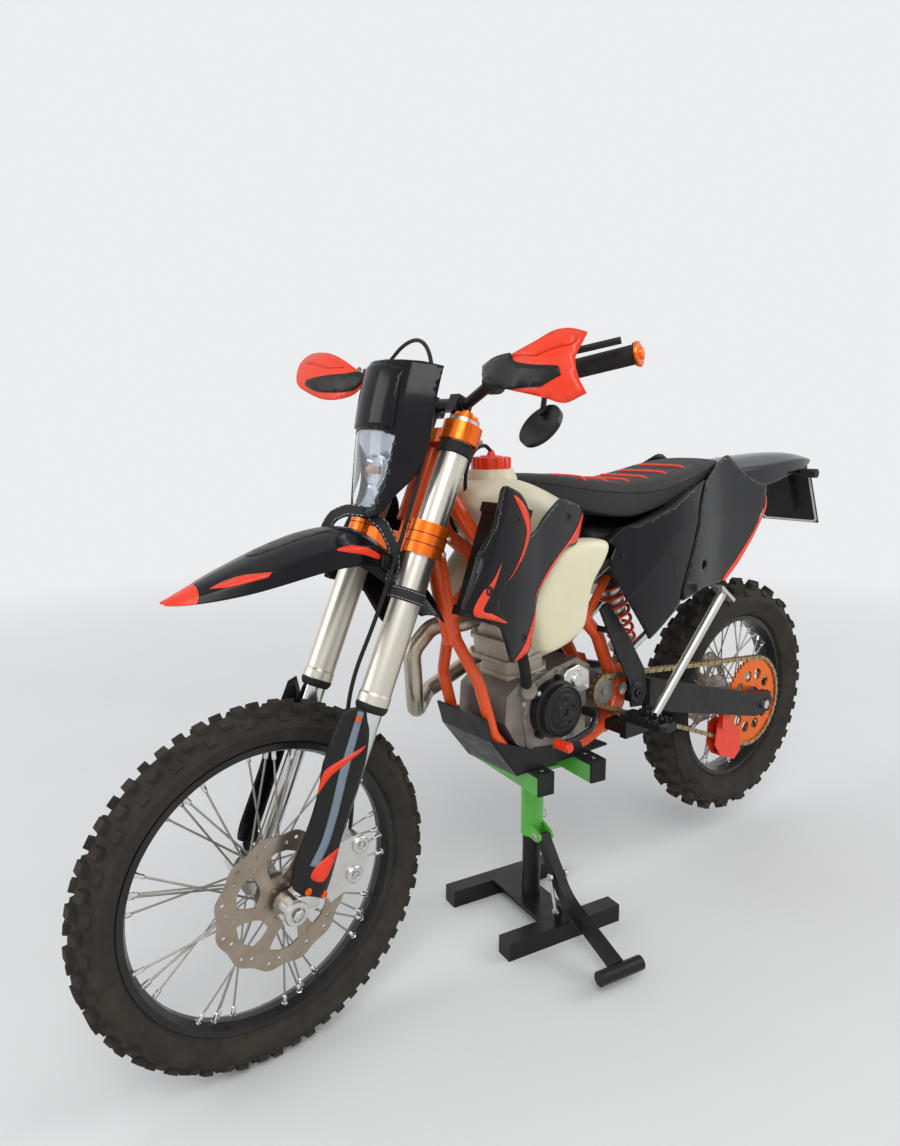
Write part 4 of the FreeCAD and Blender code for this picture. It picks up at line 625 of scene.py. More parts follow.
def arch(x, half, edge, shoulder, ridge, put):
    """Half a hoop over the middle line, as nine points."""
    crown = ridge - (ridge - shoulder) * 0.22
    right = [(half, edge), (half * 0.94, shoulder), (half * 0.5, crown), (half * 0.2, ridge - 1)]
    row = [(-y, z) for y, z in right] + [(0, ridge)] + right[::-1]
    return [put(x, y, z) for y, z in row]


def skin(item):
    """The finished surface of a piece, for laying others on it."""
    return BVHTree.FromObject(item, bpy.context.evaluated_depsgraph_get())


def land(tree, start, way, off=0.0):
    """Where a straight line from start meets a surface, off mm short of it."""
    way = Vector(way).normalized()
    hit = tree.ray_cast(start, way)[0]
    return (hit if hit else start + way * 0.05) - way * (off / 1000)


def laid(name, outline, tree, start, way, mat, body, out=0.9, step=8, **more):
    """A thin sheet that lies on another piece."""
    sheet(name, outline, lambda u, v: land(tree, start(u, v), way, out), mat, body,
          tuple(-c for c in way), SKIN, step=step, **more)


# Front fender, in the fork's frame: ahead, half width, and heights of edge, shoulder and ridge.
FENDER = [
    (-136, 40, 564, 570, 578), (-60, 60, 600, 622, 634), (30, 68, 628, 644, 656), (110, 84, 624, 664, 692),
    (200, 91, 582, 622, 656), (300, 85, 510, 544, 572), (388, 36, 456, 467, 481), (419, 9, 443, 446, 450)]
fender = cage("FenderSheet", [arch(*row, fork) for row in FENDER], [M["gloss_black"], M["orange_plastic"]],
              "front_end", rise=3, thick=3, closed=False, toward=(0.4, 0, 1), crease=(1, 4, 7),
              replaces=["front_fender"])
for face in fender.data.polygons:
    if min(v // 9 for v in face.vertices) == len(FENDER) - 2:
        face.material_index = 1
tree = skin(fender)
for tag, side in SIDES:
    for name, outline in (
            ("FenderFlash", [
                (366, 493, 0), (350, 510), (325, 531), (288, 552, 0), (292, 541, 0), (321, 521), (348, 503)]),
            ("FenderFlashRear", [
                (186, 624), (170, 637), (150, 645), (120, 648), (92, 644), (96, 636), (130, 634)])):
        laid(name + tag, outline, tree, lambda u, v: fork(u, 140 * side, v), (0, -side, 0),
             M["orange_plastic"], "front_end", out=2.2, step=5)
laid("FenderRecess", both([(22, 120, 0), (30, 200), (22, 286), (8, 304)]), tree,
     lambda u, v: fork(v, u, 760), (math.sin(RAKE), 0, -math.cos(RAKE)), M["satin_black"], "front_end",
     out=0.7)

# Headlight mask, lens and reflector, in the fork's frame.
MASK_LEAN = math.radians(16.6)
MASK_FOOT_X, MASK_FOOT_Z = 112, 732
MASK_FACE = (1, 0, 0.3)
ROUND_HALF, MASK_HALF = 70, 112
LAMP_Z = 66


def mask_depth(y):
    """The mask's plan: a round front and straight flanks."""
    wide = abs(y)
    if wide < ROUND_HALF:
        return math.sqrt(110 ** 2 - wide ** 2) - 98.9
    if wide < MASK_HALF:
        return -14 - (wide - ROUND_HALF) * 46 / 42
    return -60 - (wide - MASK_HALF) * 6


def mask_point(y, z, ahead=0.0):
    """A place ahead of the mask's face, which leans and bows back towards its top."""
    u = mask_depth(y) + ahead - max(0, z - 130) ** 2 / 1000
    return fork(MASK_FOOT_X + u * math.cos(MASK_LEAN) + z * math.sin(MASK_LEAN), y,
                MASK_FOOT_Z - u * math.sin(MASK_LEAN) + z * math.cos(MASK_LEAN))


MASK = both(
    [(18, -26, 0), (48, -20), (72, 18), (97, 62), (111, 112, 0), (112, 190), (111, 264, 0), (80, 270)])
WINDOW = both([(20, -8, 0), (38, -4, 0), (56, 50), (68, 130, 0), (36, 140)])
sheet("MaskShield", MASK, mask_point, M["gloss_black"], "front_end", MASK_FACE, 4, holes=[WINDOW], step=7,
      replaces=["headlight_mask"])
sheet("MaskBrow", both([(30, 146), (66, 142, 0), (67, 180), (64, 254, 0), (26, 262)]),
      lambda y, z: mask_point(y, z, 5), M["gloss_black"], "front_end", MASK_FACE, 4, step=8)
sheet("LampLens", [(p[0] * 0.985, *p[1:]) for p in WINDOW], lambda y, z: mask_point(y, z, -1.5), M["glass"],
      "front_end", MASK_FACE, 2, step=8, replaces=["headlight"])


def reflector(y, z):
    """A bowl behind the lens."""
    return mask_point(y, z, -8 - 34 * max(0, 1 - (y / 74) ** 2 - ((z - LAMP_Z) / 82) ** 2))


sheet("LampReflector", [(p[0] * 1.05, p[1] * 1.03 - 2, *p[2:]) for p in WINDOW], reflector, M["mirror"],
      "front_end", MASK_FACE, 2, step=9)
lamp_way = mask_point(0, LAMP_Z, 1) - mask_point(0, LAMP_Z, 0)
for name, mat, profile, steps in (
        ("LampBowl", "mirror", [(18, 0), (30, 2), (31, 14), (29, 15), (26, 4), (12, 2)], 40),
        ("LampBulb", "amber", [(6, 0), (8, 6), (8, 22), (5, 28), (1, 30)], 20)):
    turned_piece(name, M[mat], "front_end", mask_point(0, LAMP_Z, -40), lamp_way, profile, steps)

# Hand guards: where they lie ahead of the bar, by their distance from the middle.
GUARD_PLAN = {
    "Left": [(170, 80), (196, 90), (240, 106), (285, 112), (330, 108), (380, 92), (430, 60)],
    "Right": [(170, 80), (196, 92), (240, 110), (285, 122), (330, 130), (380, 134), (430, 134)]}
GUARD_MIDDLE = 1020
GUARD = {
    "Left": [
        (193, 1010, 0), (240, 1013), (282, 1016), (326, 1038), (351, 1060), (374, 1068), (402, 1066, 0),
        (402, 1041), (401, 1018), (410, 991), (424, 968, 0), (395, 947), (366, 949), (294, 958), (257, 968),
        (212, 985)],
    "Right": [
        (184, 1012, 0), (223, 1030), (273, 1050), (330, 1064), (396, 1064), (422, 1044), (418, 1008),
        (402, 986), (360, 970), (305, 957), (256, 959), (212, 975)]}
GUARD_INSERT = {
    "Left": [
        (190, 1013, 0), (240, 1017), (284, 1018, 0), (298, 1003), (340, 997), (382, 999, 0), (388, 986, 0),
        (357, 964, 0), (293, 958), (257, 964), (210, 983)],
    "Right": [
        (181, 1014, 0), (208, 1022), (238, 1014, 0), (310, 1004), (362, 996, 0), (368, 986, 0), (335, 974),
        (290, 970), (215, 980)]}
GUARD_RIDGE = {
    "Left": [
        (286, 1012, 0), (326, 1032), (351, 1054), (396, 1058, 0), (392, 1040), (372, 1030), (340, 1012, 0)],
    "Right": [
        (250, 1028, 0), (290, 1044), (340, 1054), (392, 1054, 0), (398, 1040), (352, 1034), (300, 1024, 0)]}


def guard_at(tag, side, y, z, out):
    """A place ahead of a hand guard's face, which bows back above and below its middle."""
    bow = 14 * ((z - GUARD_MIDDLE) / 64) ** 2
    return mirror(fork(along(GUARD_PLAN[tag], y) + out - bow, y, z), side)


for tag, side in SIDES:
    for name, outlines, mat, out, thick, nodes in (
            ("HandGuard", GUARD, "orange_plastic", 0, 4, ["handguards"]),
            ("GuardInsert", GUARD_INSERT, "satin_black", 3, 2.6, []),
            ("GuardRidge", GUARD_RIDGE, "orange_plastic", 2.2, 2, [])):
        sheet(name + tag, outlines[tag], lambda y, z: guard_at(tag, side, y, z, out), M[mat], "front_end",
              AHEAD, thick, replaces=nodes)
for tag, side in SIDES:
    arm = Kit()
    arm.tube([
        mirror(fork(*p), side)
        for p in ((34, 150, 1014), (62, 172, 1010), (84, 204, 1004), (90, 246, 1000))], 8)
    arm.turned(mirror(fork(28, 158, 1012), side), (0, side, 0), [(20, -12), (22, -10), (22, 10), (20, 12)],
               24)
    arm.bolt(mirror(fork(50, 158, 1012), side), AHEAD, 4.5, 5)
    arm.make("GuardArm" + tag, M["matt_black"], "front_end")
    centre = mirror(fork(-47, 411, 1086), side)
    turned_piece("GripEnd" + tag, M["orange_metal"], "front_end", centre,
                 centre - mirror(fork(8, 240, 1024), side),
                 [(12, -4), (21, -3), (22, 0), (21, 3), (11, 4), (10, 8), (5, 9)], 28)


# Fork guards.
GUARD_SIDE = 131


def fork_guard_at(x, z, out):
    """A place out from a fork guard's face, which bows in ahead of and behind the leg."""
    bow = 30 * ((x - FORK_X) / 68) ** 2 if x > FORK_X else 10 * ((FORK_X - x) / 20) ** 2
    return fork(x, GUARD_SIDE - bow + out, z)


pair("ForkGuard", [
    (60, 374, 0), (82, 362, 0), (87, 262), (81, 213), (79, 161), (81, 72), (72, 40), (57, 32, 0),
    (9, 29, 0), (3, 57), (14, 136), (18, 175), (15, 240), (18, 286), (33, 341)], fork_guard_at,
     M["satin_black"], "front_end", thick=3, replaces=["fork_guards"])
pair("ForkBand", [
    (52, 366, 0), (62, 366, 0), (60, 262), (54, 190), (52, 130), (58, 84, 0), (44, 84, 0), (38, 130),
    (40, 190), (46, 262)], fork_guard_at, M["slate"], "front_end", thick=0.8, out=0.9)
flash("ForkFlash", [(81, 206), (82, 246), (66, 272), (30, 310), (34, 298), (50, 276), (69, 246), (76, 224)],
      fork_guard_at, "front_end", 1.2, 10)
flash("ForkFlashLow", [(50, 64), (45, 90), (15, 123), (16, 95), (24, 62)], fork_guard_at, "front_end",
      1.2, 10)

# Radiator shrouds.
SHROUD_PLAN = [(780, 146), (870, 172), (960, 197), (1070, 230), (1190, 247), (1240, 250)]
BEVEL = [(860, 1188), (898, 1170), (931, 1154), (962, 1138), (999, 1125), (1036, 1103), (1079, 1091)]
FRONT_OUT = 6


def shroud_at(x, z, out):
    """A place out from a shroud's face, which turns in ahead of the bevel and bows over its height."""
    past = max(0, x - along(BEVEL, z) + 6)
    y = along(SHROUD_PLAN, x) + out - 0.95 * past * past / (past + 14) - 9 * ((z - 920) / 170) ** 2
    return at(x, y, z)


FRONT_EDGE = [
    (1186, 862, 0), (1199, 871), (1184, 905), (1171, 933), (1151, 975), (1129, 1005), (1111, 1037),
    (1097, 1077), (1089, 1085, 0)]
pair("Shroud", [
    (1090, 1080, 0), (1048, 1066), (1025, 1041), (1017, 1012), (1020, 984, 0), (985, 996), (952, 1019),
    (917, 1037), (887, 1048), (798, 1025, 0), (797, 1013, 0), (824, 954), (868, 948), (913, 923),
    (953, 893), (977, 869), (984, 845), (985, 818), (992, 791), (1001, 757), (1056, 748), (1067, 757),
    (1102, 824, 0), (1150, 852)] + FRONT_EDGE, shroud_at, M["gloss_black"], "chassis",
     replaces=["radiator_shrouds"])
pair("ShroudFront", [
    (1048, 1068), (1025, 1041), (1017, 1012), (1021, 989), (1037, 962), (1061, 934), (1092, 911),
    (1118, 874), (1087, 831, 0), (1146, 849)] + FRONT_EDGE, shroud_at, M["gloss_black"], "chassis",
     out=FRONT_OUT, step=6)
flash("ShroudFlame", [
    (1072, 1067), (1048, 1055), (1026, 1032), (1019, 1006), (1027, 981), (1045, 955), (1071, 930),
    (1093, 913), (1075, 930), (1053, 956), (1041, 976), (1034, 996), (1038, 1012), (1052, 1036)], shroud_at,
      "chassis", 7.2)
flash("ShroudVee", [
    (1113, 948), (1132, 923), (1150, 909), (1162, 903), (1184, 866), (1146, 851), (1092, 834), (1134, 858),
    (1160, 868), (1146, 889), (1130, 912)], shroud_at, "chassis", 7.2)
flash("ShroudTail", [
    (799, 1012), (806, 990), (826, 957), (868, 950), (912, 925), (952, 895), (990, 868), (948, 906),
    (901, 937), (850, 966), (824, 986)], shroud_at, "chassis", 1.2)
flash("ShroudFoot", [
    (986, 838), (987, 814), (994, 791), (1003, 760), (1054, 750), (1026, 772), (1004, 804)], shroud_at,
      "chassis", 1.2)
for tag, side in SIDES:
    trim = Kit()
    for x, z, out in ((1064, 1022, FRONT_OUT), (1146, 902, FRONT_OUT), (1026, 792, 0), (862, 1010, 0)):
        trim.turned(mirror(shroud_at(x, z, out), side), (0, side, 0),
                    [(8, 0), (9, 1.5), (8, 2.5), (4, 2.5), (4, 1)], 18)
    trim.make("ShroudBolts" + tag, M["matt_black"], "chassis")

# Fuel tank.
NECK_X = 925
CAP_STEPS, CAP_PITCH = 144, 12


def section(x, half_row):
    """A closed section at x, from the places of its left half."""
    return [at(x, y, z) for y, z in half_row + [(-y, z) for y, z in half_row[-2:0:-1]]]


def loop(x, half, low, top):
    """A rounded section, as fourteen points."""
    high = top - low
    return section(x, [(0, top), (half * 0.45, top - high * 0.012), (half * 0.8, top - high * 0.07),
                       (half, top - high * 0.26), (half, low + high * 0.4), (half * 0.9, low + high * 0.1),
                       (half * 0.5, low), (0, low)])


cage("TankShell", [
    loop(*row)
    for row in (
        (722, 60, 890, 1010), (740, 92, 880, 1028), (800, 114, 870, 1050), (860, 128, 868, 1076),
        (920, 118, 900, 1092), (975, 84, 985, 1086), (1012, 56, 1020, 1070), (1024, 34, 1034, 1060))],
     M["cream"], "chassis", replaces=["fuel_tank"])
LOBE_GROWTH = 1.05
LOBE = [
    Vector(p)
    for p in (
        (851, 949), (785, 950), (738, 948), (721, 941), (727, 925), (742, 903), (778, 862), (786, 812),
        (793, 776), (802, 760), (836, 742), (884, 729), (904, 731), (913, 746), (926, 780), (945, 821),
        (941, 858), (895, 919))]
middle = sum(LOBE, Vector((0, 0))) / len(LOBE)
for tag, side in SIDES:
    rings = []
    for scale, y in ((0.96, 104), (1, 112), (1, 146), (0.97, 158), (0.86, 166), (0.5, 169), (0.15, 170)):
        spots = [middle + (p - middle) * scale * LOBE_GROWTH for p in LOBE]
        rings.append([at(p.x, y * side, p.y) for p in spots])
    cage("TankLobe" + tag, rings, M["cream"], "chassis")
turned_piece("TankNeck", M["cream"], "chassis", at(NECK_X, 0, 1080), (0.03, 0, 1),
             [(56, 0), (54, 8), (50, 14), (48, 22), (44, 24)], 48)
cap = Kit()
rings = []
for z, share in ((1103, 1), (1124, 1), (1128, 0.95), (1129, 0.8)):
    ring = []
    for k in range(CAP_STEPS):
        turn = 2 * math.pi * k / CAP_STEPS
        radius = (42.6 if 2 <= k % CAP_PITCH <= 6 else 40) * share
        ring.append(at(NECK_X + radius * math.cos(turn), radius * math.sin(turn), z))
    rings.append(ring)
cap.rings(rings)
cap.turned(at(NECK_X, 0, 1128), (0, 0, 1), [(24, 0), (23, 3), (10, 4), (7, 10), (6, 14), (3, 15)], 28)
cap.make("FillerCap", M["orange_plastic"], "chassis", replaces=["fuel_cap"])
tube_piece("TankBreather", M["rubber"], "chassis", [
    at(NECK_X, 0, 1140), at(950, 6, 1152), at(985, 14, 1140), at(1010, 20, 1100), at(1016, 24, 1060)], 4)

# Seat: x, low edge, top, and half widths of the shoulder and the foot.
SEAT = [
    (890, 1068, 1080, 22, 20), (884, 1062, 1092, 36, 34), (800, 1026, 1092, 70, 72),
    (700, 998, 1080, 94, 100), (620, 984, 1071, 106, 118), (560, 988, 1068, 116, 122),
    (430, 1022, 1080, 124, 126), (330, 1056, 1100, 117, 116), (240, 1088, 1115, 96, 96),
    (214, 1098, 1112, 78, 78)]
rings = []
for x, low, top, half, foot in SEAT:
    rings.append(section(x, [
        (0, top), (half * 0.5, top - 0.5), (half * 0.86, top - 4), (half, top - (top - low) * 0.26),
        ((half + foot) / 2 - 1, (top + low) / 2), (foot, low + 4), (foot - 6, low), (0, low)]))
seat = cage("SeatCover", rings, M["seat"], "chassis", rise=3, replaces=["seat"])
tree = skin(seat)
ribs = Kit()
RIB_HALF, RIB_PARTS = 76, 6
for x in (352, 424, 498, 566, 640, 712):
    ribs.tube([
        land(tree, at(x, RIB_HALF * k / RIB_PARTS, 1200), (0, 0, -1), 0.6 if abs(k) < RIB_PARTS else -4)
        for k in range(-RIB_PARTS, RIB_PARTS + 1)], 4.2, 12, 3)
ribs.make("SeatRibs", M["orange_plastic"], "chassis", sharp=60)
for tag, side in SIDES:
    seam = Kit()
    seam.tube([land(tree, at(x, 200 * side, z), (0, -side, 0), -0.4) for x, z in (
        (850, 1074), (800, 1068), (740, 1058), (680, 1050), (620, 1044), (560, 1042), (500, 1046),
        (440, 1055), (380, 1070), (320, 1084), (270, 1098))], 1.5, 8, 3)
    seam.make("SeatSeam" + tag, M["rubber"], "chassis", sharp=60)

# Side panels and tail.
PANEL_PLAN = [(-60, 104), (240, 124), (430, 160), (620, 166), (730, 148)]
PANEL_LEAN = 0.12
CREASE = [(274, 971), (461, 963), (516, 929), (590, 863), (654, 811)]


def panel_at(x, z, out):
    """A place out from a side panel's face, which leans in above its crease."""
    over = max(0, z - along(CREASE, x))
    return at(x, along(PANEL_PLAN, x) + out - over * PANEL_LEAN, z)


TOP_EDGE = [(702, 939, 0), (652, 969), (609, 977), (515, 1003), (435, 1036), (338, 1064, 0)]
pair("SidePanel", TOP_EDGE + [
    (368, 1017), (390, 972), (398, 927), (429, 853), (449, 808), (475, 769), (496, 757), (580, 709),
    (590, 721), (649, 796), (668, 827), (695, 873), (699, 901), (684, 929)], panel_at, M["gloss_black"],
     "chassis", replaces=["side_panels"])
SCREW_X, SCREW_Z = 360, 858
SCREW_HOLE = [(SCREW_X + 11 * math.cos(k), SCREW_Z + 11 * math.sin(k))
              for k in (0, 0.785, 1.57, 2.36, 3.14, 3.93, 4.71, 5.5)]
pair("TailPanel", [
    (350, 1060, 0), (235, 1117), (207, 1120), (126, 1071), (54, 1046), (19, 1044, 0), (24, 1014),
    (38, 985), (113, 891), (243, 804), (365, 797), (459, 783, 0), (461, 806), (441, 852), (410, 924),
    (380, 1012)], panel_at, M["gloss_black"], "chassis", out=3, holes=[SCREW_HOLE])
pair("TailEdge", [
    (25, 1010), (36, 981), (98, 912), (175, 850), (243, 805), (226, 802), (160, 842), (84, 910), (28, 980)],
     panel_at, M["orange_plastic"], "chassis", thick=0.9, out=4.1, step=7)
for tag, side in SIDES:
    lip = []
    for p in hermite(TOP_EDGE, 4, closed=False):
        edge = panel_at(p.x, p.y, 0)
        lip.append([mirror(edge, side), mirror(Vector((edge.x, edge.y - 0.014, edge.z + 0.002)), side),
                    mirror(Vector((edge.x, 0.106, edge.z - 0.008)), side)])
    cage("PanelLip" + tag, lip, M["satin_black"], "chassis", rise=1, thick=3, closed=False,
         toward=(0, 0, 1))
    seam = Kit()
    for line in ([(509, 921), (560, 880), (612, 842), (663, 807)], [(515, 916), (500, 872), (489, 829)]):
        seam.tube([mirror(panel_at(*p, -0.6), side) for p in line], 1.6, 8, 5)
    for x, z in ((598, 742), (666, 908), (352, 1040)):
        seam.bolt(mirror(panel_at(x, z, 0), side), (0, side, 0), 4.5, 4)
    seam.turned(mirror(panel_at(SCREW_X, SCREW_Z, -9), side), (0, side, 0),
                [(16, 0), (17, 1), (17, 4), (14, 5), (5, 3)], 24)
    seam.make("PanelTrim" + tag, M["matt_black"], "chassis")
TAIL = [
    (262, 104, 1000, 1044, 1058), (206, 106, 1016, 1076, 1096), (140, 104, 1030, 1084, 1106),
    (0, 98, 1034, 1090, 1118), (-150, 84, 1062, 1100, 1124), (-250, 66, 1080, 1104, 1120),
    (-316, 44, 1090, 1100, 1108)]
cage("TailSheet", [arch(*row, at) for row in TAIL], M["gloss_black"], "chassis", rise=3, thick=3,
     closed=False, toward=(0, 0, 1), crease=(1, 7), replaces=["rear_fender"])
PLATE_X, PLATE_Z = -267, 990
PLATE_OUT = Vector((-0.91355, 0, 0.40674))
PLATE_UP = Vector((0.40674, 0, 0.91355))


def plate_at(u, v, w):
    """A place on the registration plate: u across, v up, w behind its middle."""
    middle = at(PLATE_X, 0, PLATE_Z)
    return middle + Vector((0, u / 1000, 0)) + PLATE_UP * (v / 1000) + PLATE_OUT * (w / 1000)


def chamfered(half, high, cut):
    """A rectangle about its middle, with its corners cut off."""
    return [(-half + cut, -high), (half - cut, -high), (half, -high + cut), (half, high - cut),
            (half - cut, high), (-half + cut, high), (-half, high - cut), (-half, -high + cut)]


border = Kit()
for low, high in ((2.1, 3.0), (-3.0, -2.1)):
    border.plate(chamfered(88, 83, 8), low, high, plate_at, bevel=0, holes=[chamfered(82, 77, 6)])
border.make("PlateBorder", M["pale"], "chassis")

# Brake hose, from the caliper to the lever, in the fork's frame.
HOSE = (
    (-46, 66, 142.4), (-34, 62, 200), (4, 61, 268), (40, 62, 340), (60, 70, 420), (66, 88, 510),
    (68, 94, 600), (70, 92, 700), (74, 90, 790), (80, 86, 880), (96, 76, 970), (104, 40, 1044),
    (94, -30, 1086), (70, -120, 1092), (46, -190, 1072), (34, -236, 1050))
HOSE_THICK = 0.008
data = bpy.data.curves.new("BrakeHose", "CURVE")
data.dimensions = "3D"
data.bevel_depth = HOSE_THICK / 2
data.bevel_resolution = 6
data.resolution_u = 16
line = data.splines.new("NURBS")
line.points.add(len(HOSE) - 1)
for point, p in zip(line.points, HOSE):
    point.co = (*fork(*p), 1)
line.order_u = 3
line.use_endpoint_u = True
hose = bpy.data.objects.new("BrakeHose", data)
bpy.context.collection.objects.link(hose)
data.materials.append(M["rubber"])
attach(hose, "front_end")
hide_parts("brake_hose")


# Wheels: nipples and brake discs.
def polar(turn, radius):
    """A step of radius in the direction turn, in the bike's plane."""
    return Vector((math.cos(turn), math.sin(turn))) * radius


def on_wheel(axle, radius, angle, y):
    """A place at a radius and an angle from an axle."""
    return at(axle[0] + radius * math.cos(angle), y, axle[1] + radius * math.sin(angle))


SPOKE_SWING = math.radians(34)
for name, axle, flange, foot_radius, head_radius, body in (
        ("Front", FRONT_AXLE, 30, 32, 255.5, "front_wheel"),
        ("Rear", REAR_AXLE, 34, 42, 216.5, "rear_wheel")):
    nipples = Kit()
    for side in (-1, 1):
        for way in (-1, 1):
            for i in range(9):
                foot = math.radians(40 * i + (20 if way > 0 else 0) + (10 if side > 0 else 0))
                head = foot + way * SPOKE_SWING
                start = on_wheel(axle, foot_radius, foot, side * (flange + 2.6 * way))
                end = on_wheel(axle, head_radius, head, side * 7 + way * 2.6)
                nipples.turned(end, start - end,
                               [(6, -4), (6, 0), (4.6, 1), (4.6, 13), (3.2, 16), (2.1, 17)], 8)
    nipples.make(name + "Nipples", M["slider"], body)


def ring_of(radius, count, u=0.0, v=0.0):
    """Points round (u, v), in a disc's own plane."""
    return [(u + radius * math.cos(2 * math.pi * k / count), v + radius * math.sin(2 * math.pi * k / count))
            for k in range(count)]


# The disc's openings, as shares of its radius and angles from a spoke of it.
OPENING = (
    (0.40, 0.10), (0.55, 0.12), (0.69, 0.20), (0.73, 0.42), (0.73, 0.64), (0.70, 0.86), (0.58, 0.84),
    (0.46, 0.76), (0.38, 0.60), (0.37, 0.34))
DISC_HALF, WAVES, EDGE_STEPS = 1.75, 12, 168
for name, axle, side, radius, body, node in (
        ("Front", FRONT_AXLE, 72, 130, "front_wheel", "front_brake_disc"),
        ("Rear", REAR_AXLE, -74, 110, "rear_wheel", "rear_brake_disc")):
    def disc_at(u, v, w):
        """A place on this disc: u ahead of its axle, v above it, w to its left."""
        return at(axle[0] + u, side + w, axle[1] + v)

    edge = []
    for k in range(EDGE_STEPS):
        a = 2 * math.pi * k / EDGE_STEPS
        r = radius - 3 - 3 * math.cos(WAVES * a)
        edge.append((r * math.cos(a), r * math.sin(a)))
    holes = [ring_of(14, 30)]
    for i in range(6):
        a = math.pi * i / 3
        holes.append([(radius * r * math.cos(a + t), radius * r * math.sin(a + t)) for r, t in OPENING])
    for i in range(WAVES):
        for r, t in ((0.84, 0), (0.90, 0.17)):
            a = math.pi * i / 6 + t + 0.1
            holes.append(ring_of(4, 10, radius * r * math.cos(a), radius * r * math.sin(a)))
    disc = Kit()
    disc.plate(edge, -DISC_HALF, DISC_HALF, disc_at, bevel=0, holes=holes)
    for i in range(6):
        a = math.pi * i / 3 + 0.98
        disc.turned(disc_at(radius * 0.71 * math.cos(a), radius * 0.71 * math.sin(a), -3.2), LEFTWARD,
                    [(5, 0), (6.5, 0.6), (6.5, 5.8), (5, 6.4)], 16)
        disc.bolt(disc_at(30 * math.cos(a), 30 * math.sin(a), 1.7 if side > 0 else -1.7), (0, side, 0), 4,
                  4)
    disc.make(name + "Disc", M["disc"], body, replaces=[node])

# Chain links along the loop: each sprocket's axle and the radius of its pitch circle.
CHAIN_AXLES = (Vector(REAR_AXLE), 126.3), (Vector((642, 577)), 35.4)
CHAIN_PITCH, CHAIN_SIDE = 15.875, 84
PLATE_ROUND, PLATE_WAIST, PLATE_THICK = 6.2, 4.2, 1.5


def chain_spots():
    """Points about a pitch apart round the two sprockets."""
    (a, big), (b, small) = CHAIN_AXLES
    gap = b - a
    base = math.atan2(gap.y, gap.x)
    lean = math.acos((big - small) / gap.length)
    run = math.sqrt(gap.length ** 2 - (big - small) ** 2)
    arcs = 2 * lean * small, (2 * math.pi - 2 * lean) * big
    total = 2 * run + sum(arcs)
    count = 2 * round(total / CHAIN_PITCH / 2)
    spots = []
    for k in range(count):
        s = total * k / count
        if s < run:
            turn = base + lean
            spots.append((a + polar(turn, big)).lerp(b + polar(turn, small), s / run))
        elif s < run + arcs[0]:
            spots.append(b + polar(base + lean - (s - run) / small, small))
        elif s < 2 * run + arcs[0]:
            turn = base - lean
            spots.append((b + polar(turn, small)).lerp(a + polar(turn, big), (s - run - arcs[0]) / run))
        else:
            spots.append(a + polar(base - lean - (s - 2 * run - arcs[0]) / big, big))
    return spots


links = Kit()
spots = chain_spots()
for k, p in enumerate(spots):
    q = spots[(k + 1) % len(spots)]
    along_link = (q - p).normalized()
    across = Vector((-along_link.y, along_link.x))
    outline = []
    for centre, start, waist in ((p, math.pi / 2, -PLATE_WAIST), (q, -math.pi / 2, PLATE_WAIST)):
        for i in range(6):
            turn = start + math.pi * i / 5
            outline.append(centre + (along_link * math.cos(turn) + across * math.sin(turn)) * PLATE_ROUND)
        outline.append((p + q) / 2 + across * waist)
    low = 4.2 if k % 2 else 5.9
    for side in (-1, 1):
        links.rings([[at(v.x, CHAIN_SIDE + side * y, v.y) for v in outline]
                     for y in (low, low + PLATE_THICK)])
    links.turned(at(p.x, CHAIN_SIDE - 8.5, p.y), LEFTWARD, [
        (2.6, 0), (2.6, 4.2), (4.9, 4.4), (4.9, 12.6), (2.6, 12.8), (2.6, 17)], 10)
links.make("ChainLinks", M["chain"], "chassis", replaces=["chain"])

# Fork: seals, bands, clamp bolts, axle lug and caliper.
for tag, side in SIDES:
    soft = Kit()
    for z, profile, steps in (
            (366, [(24.4, 0), (27, 1), (30.5, 8), (31, 14), (29.3, 17)], 32),
            (868, [(29.2, 0), (33.5, 2), (34, 12), (33.5, 22), (29.2, 24)], 32),
            (688, [(37, 0), (38.5, 0.3), (38.5, 1.9), (37, 2.2)], 40),
            (707, [(37, 0), (38.5, 0.3), (38.5, 1.9), (37, 2.2)], 40)):
        soft.turned(fork(FORK_X, FORK_SIDE * side, z), STEER_UP, profile, steps)
    soft.make("ForkSeals" + tag, M["rubber"], "front_end")
    turned_piece("ForkCap" + tag, M["orange_metal"], "front_end", fork(FORK_X, FORK_SIDE * side, 937),
                 STEER_UP, [(28, 0), (28, 5), (24, 7), (23, 12), (11, 13), (10, 20), (4, 21)], 32)
    metal = Kit()
    for z in (684, 714, 910):
        metal.bolt(fork(-10, 124 * side, z), (-0.55, side, -0.2), 4.5, 5)
    metal.turned(fork(54, 96 * side, 0), (0, side, 0),
                 [(22, 0), (25, 4), (25, 26), (21, 34), (14, 35), (13, 31)], 32)
    metal.turned(fork(54, 120 * side, 0), (0, side, 0), [(11, 8), (11, 16), (8, 18), (7, 14)], 6)
    metal.block(fork(36, 116 * side, 20), (44, 18, 30), 5, 3)
    metal.make("AxleLug" + tag, M["alloy"], "front_end")
    studs = Kit()
    for x, z, out, radius, high in ((46, 40, 0, 5, 5), (12, 38, 0, 5, 5), (58, 352, 1, 4.5, 4)):
        studs.bolt(mirror(fork_guard_at(x, z, out), side), (0, side, 0), radius, high)
    studs.make("GuardBolts" + tag, M["orange_metal"], "front_end")

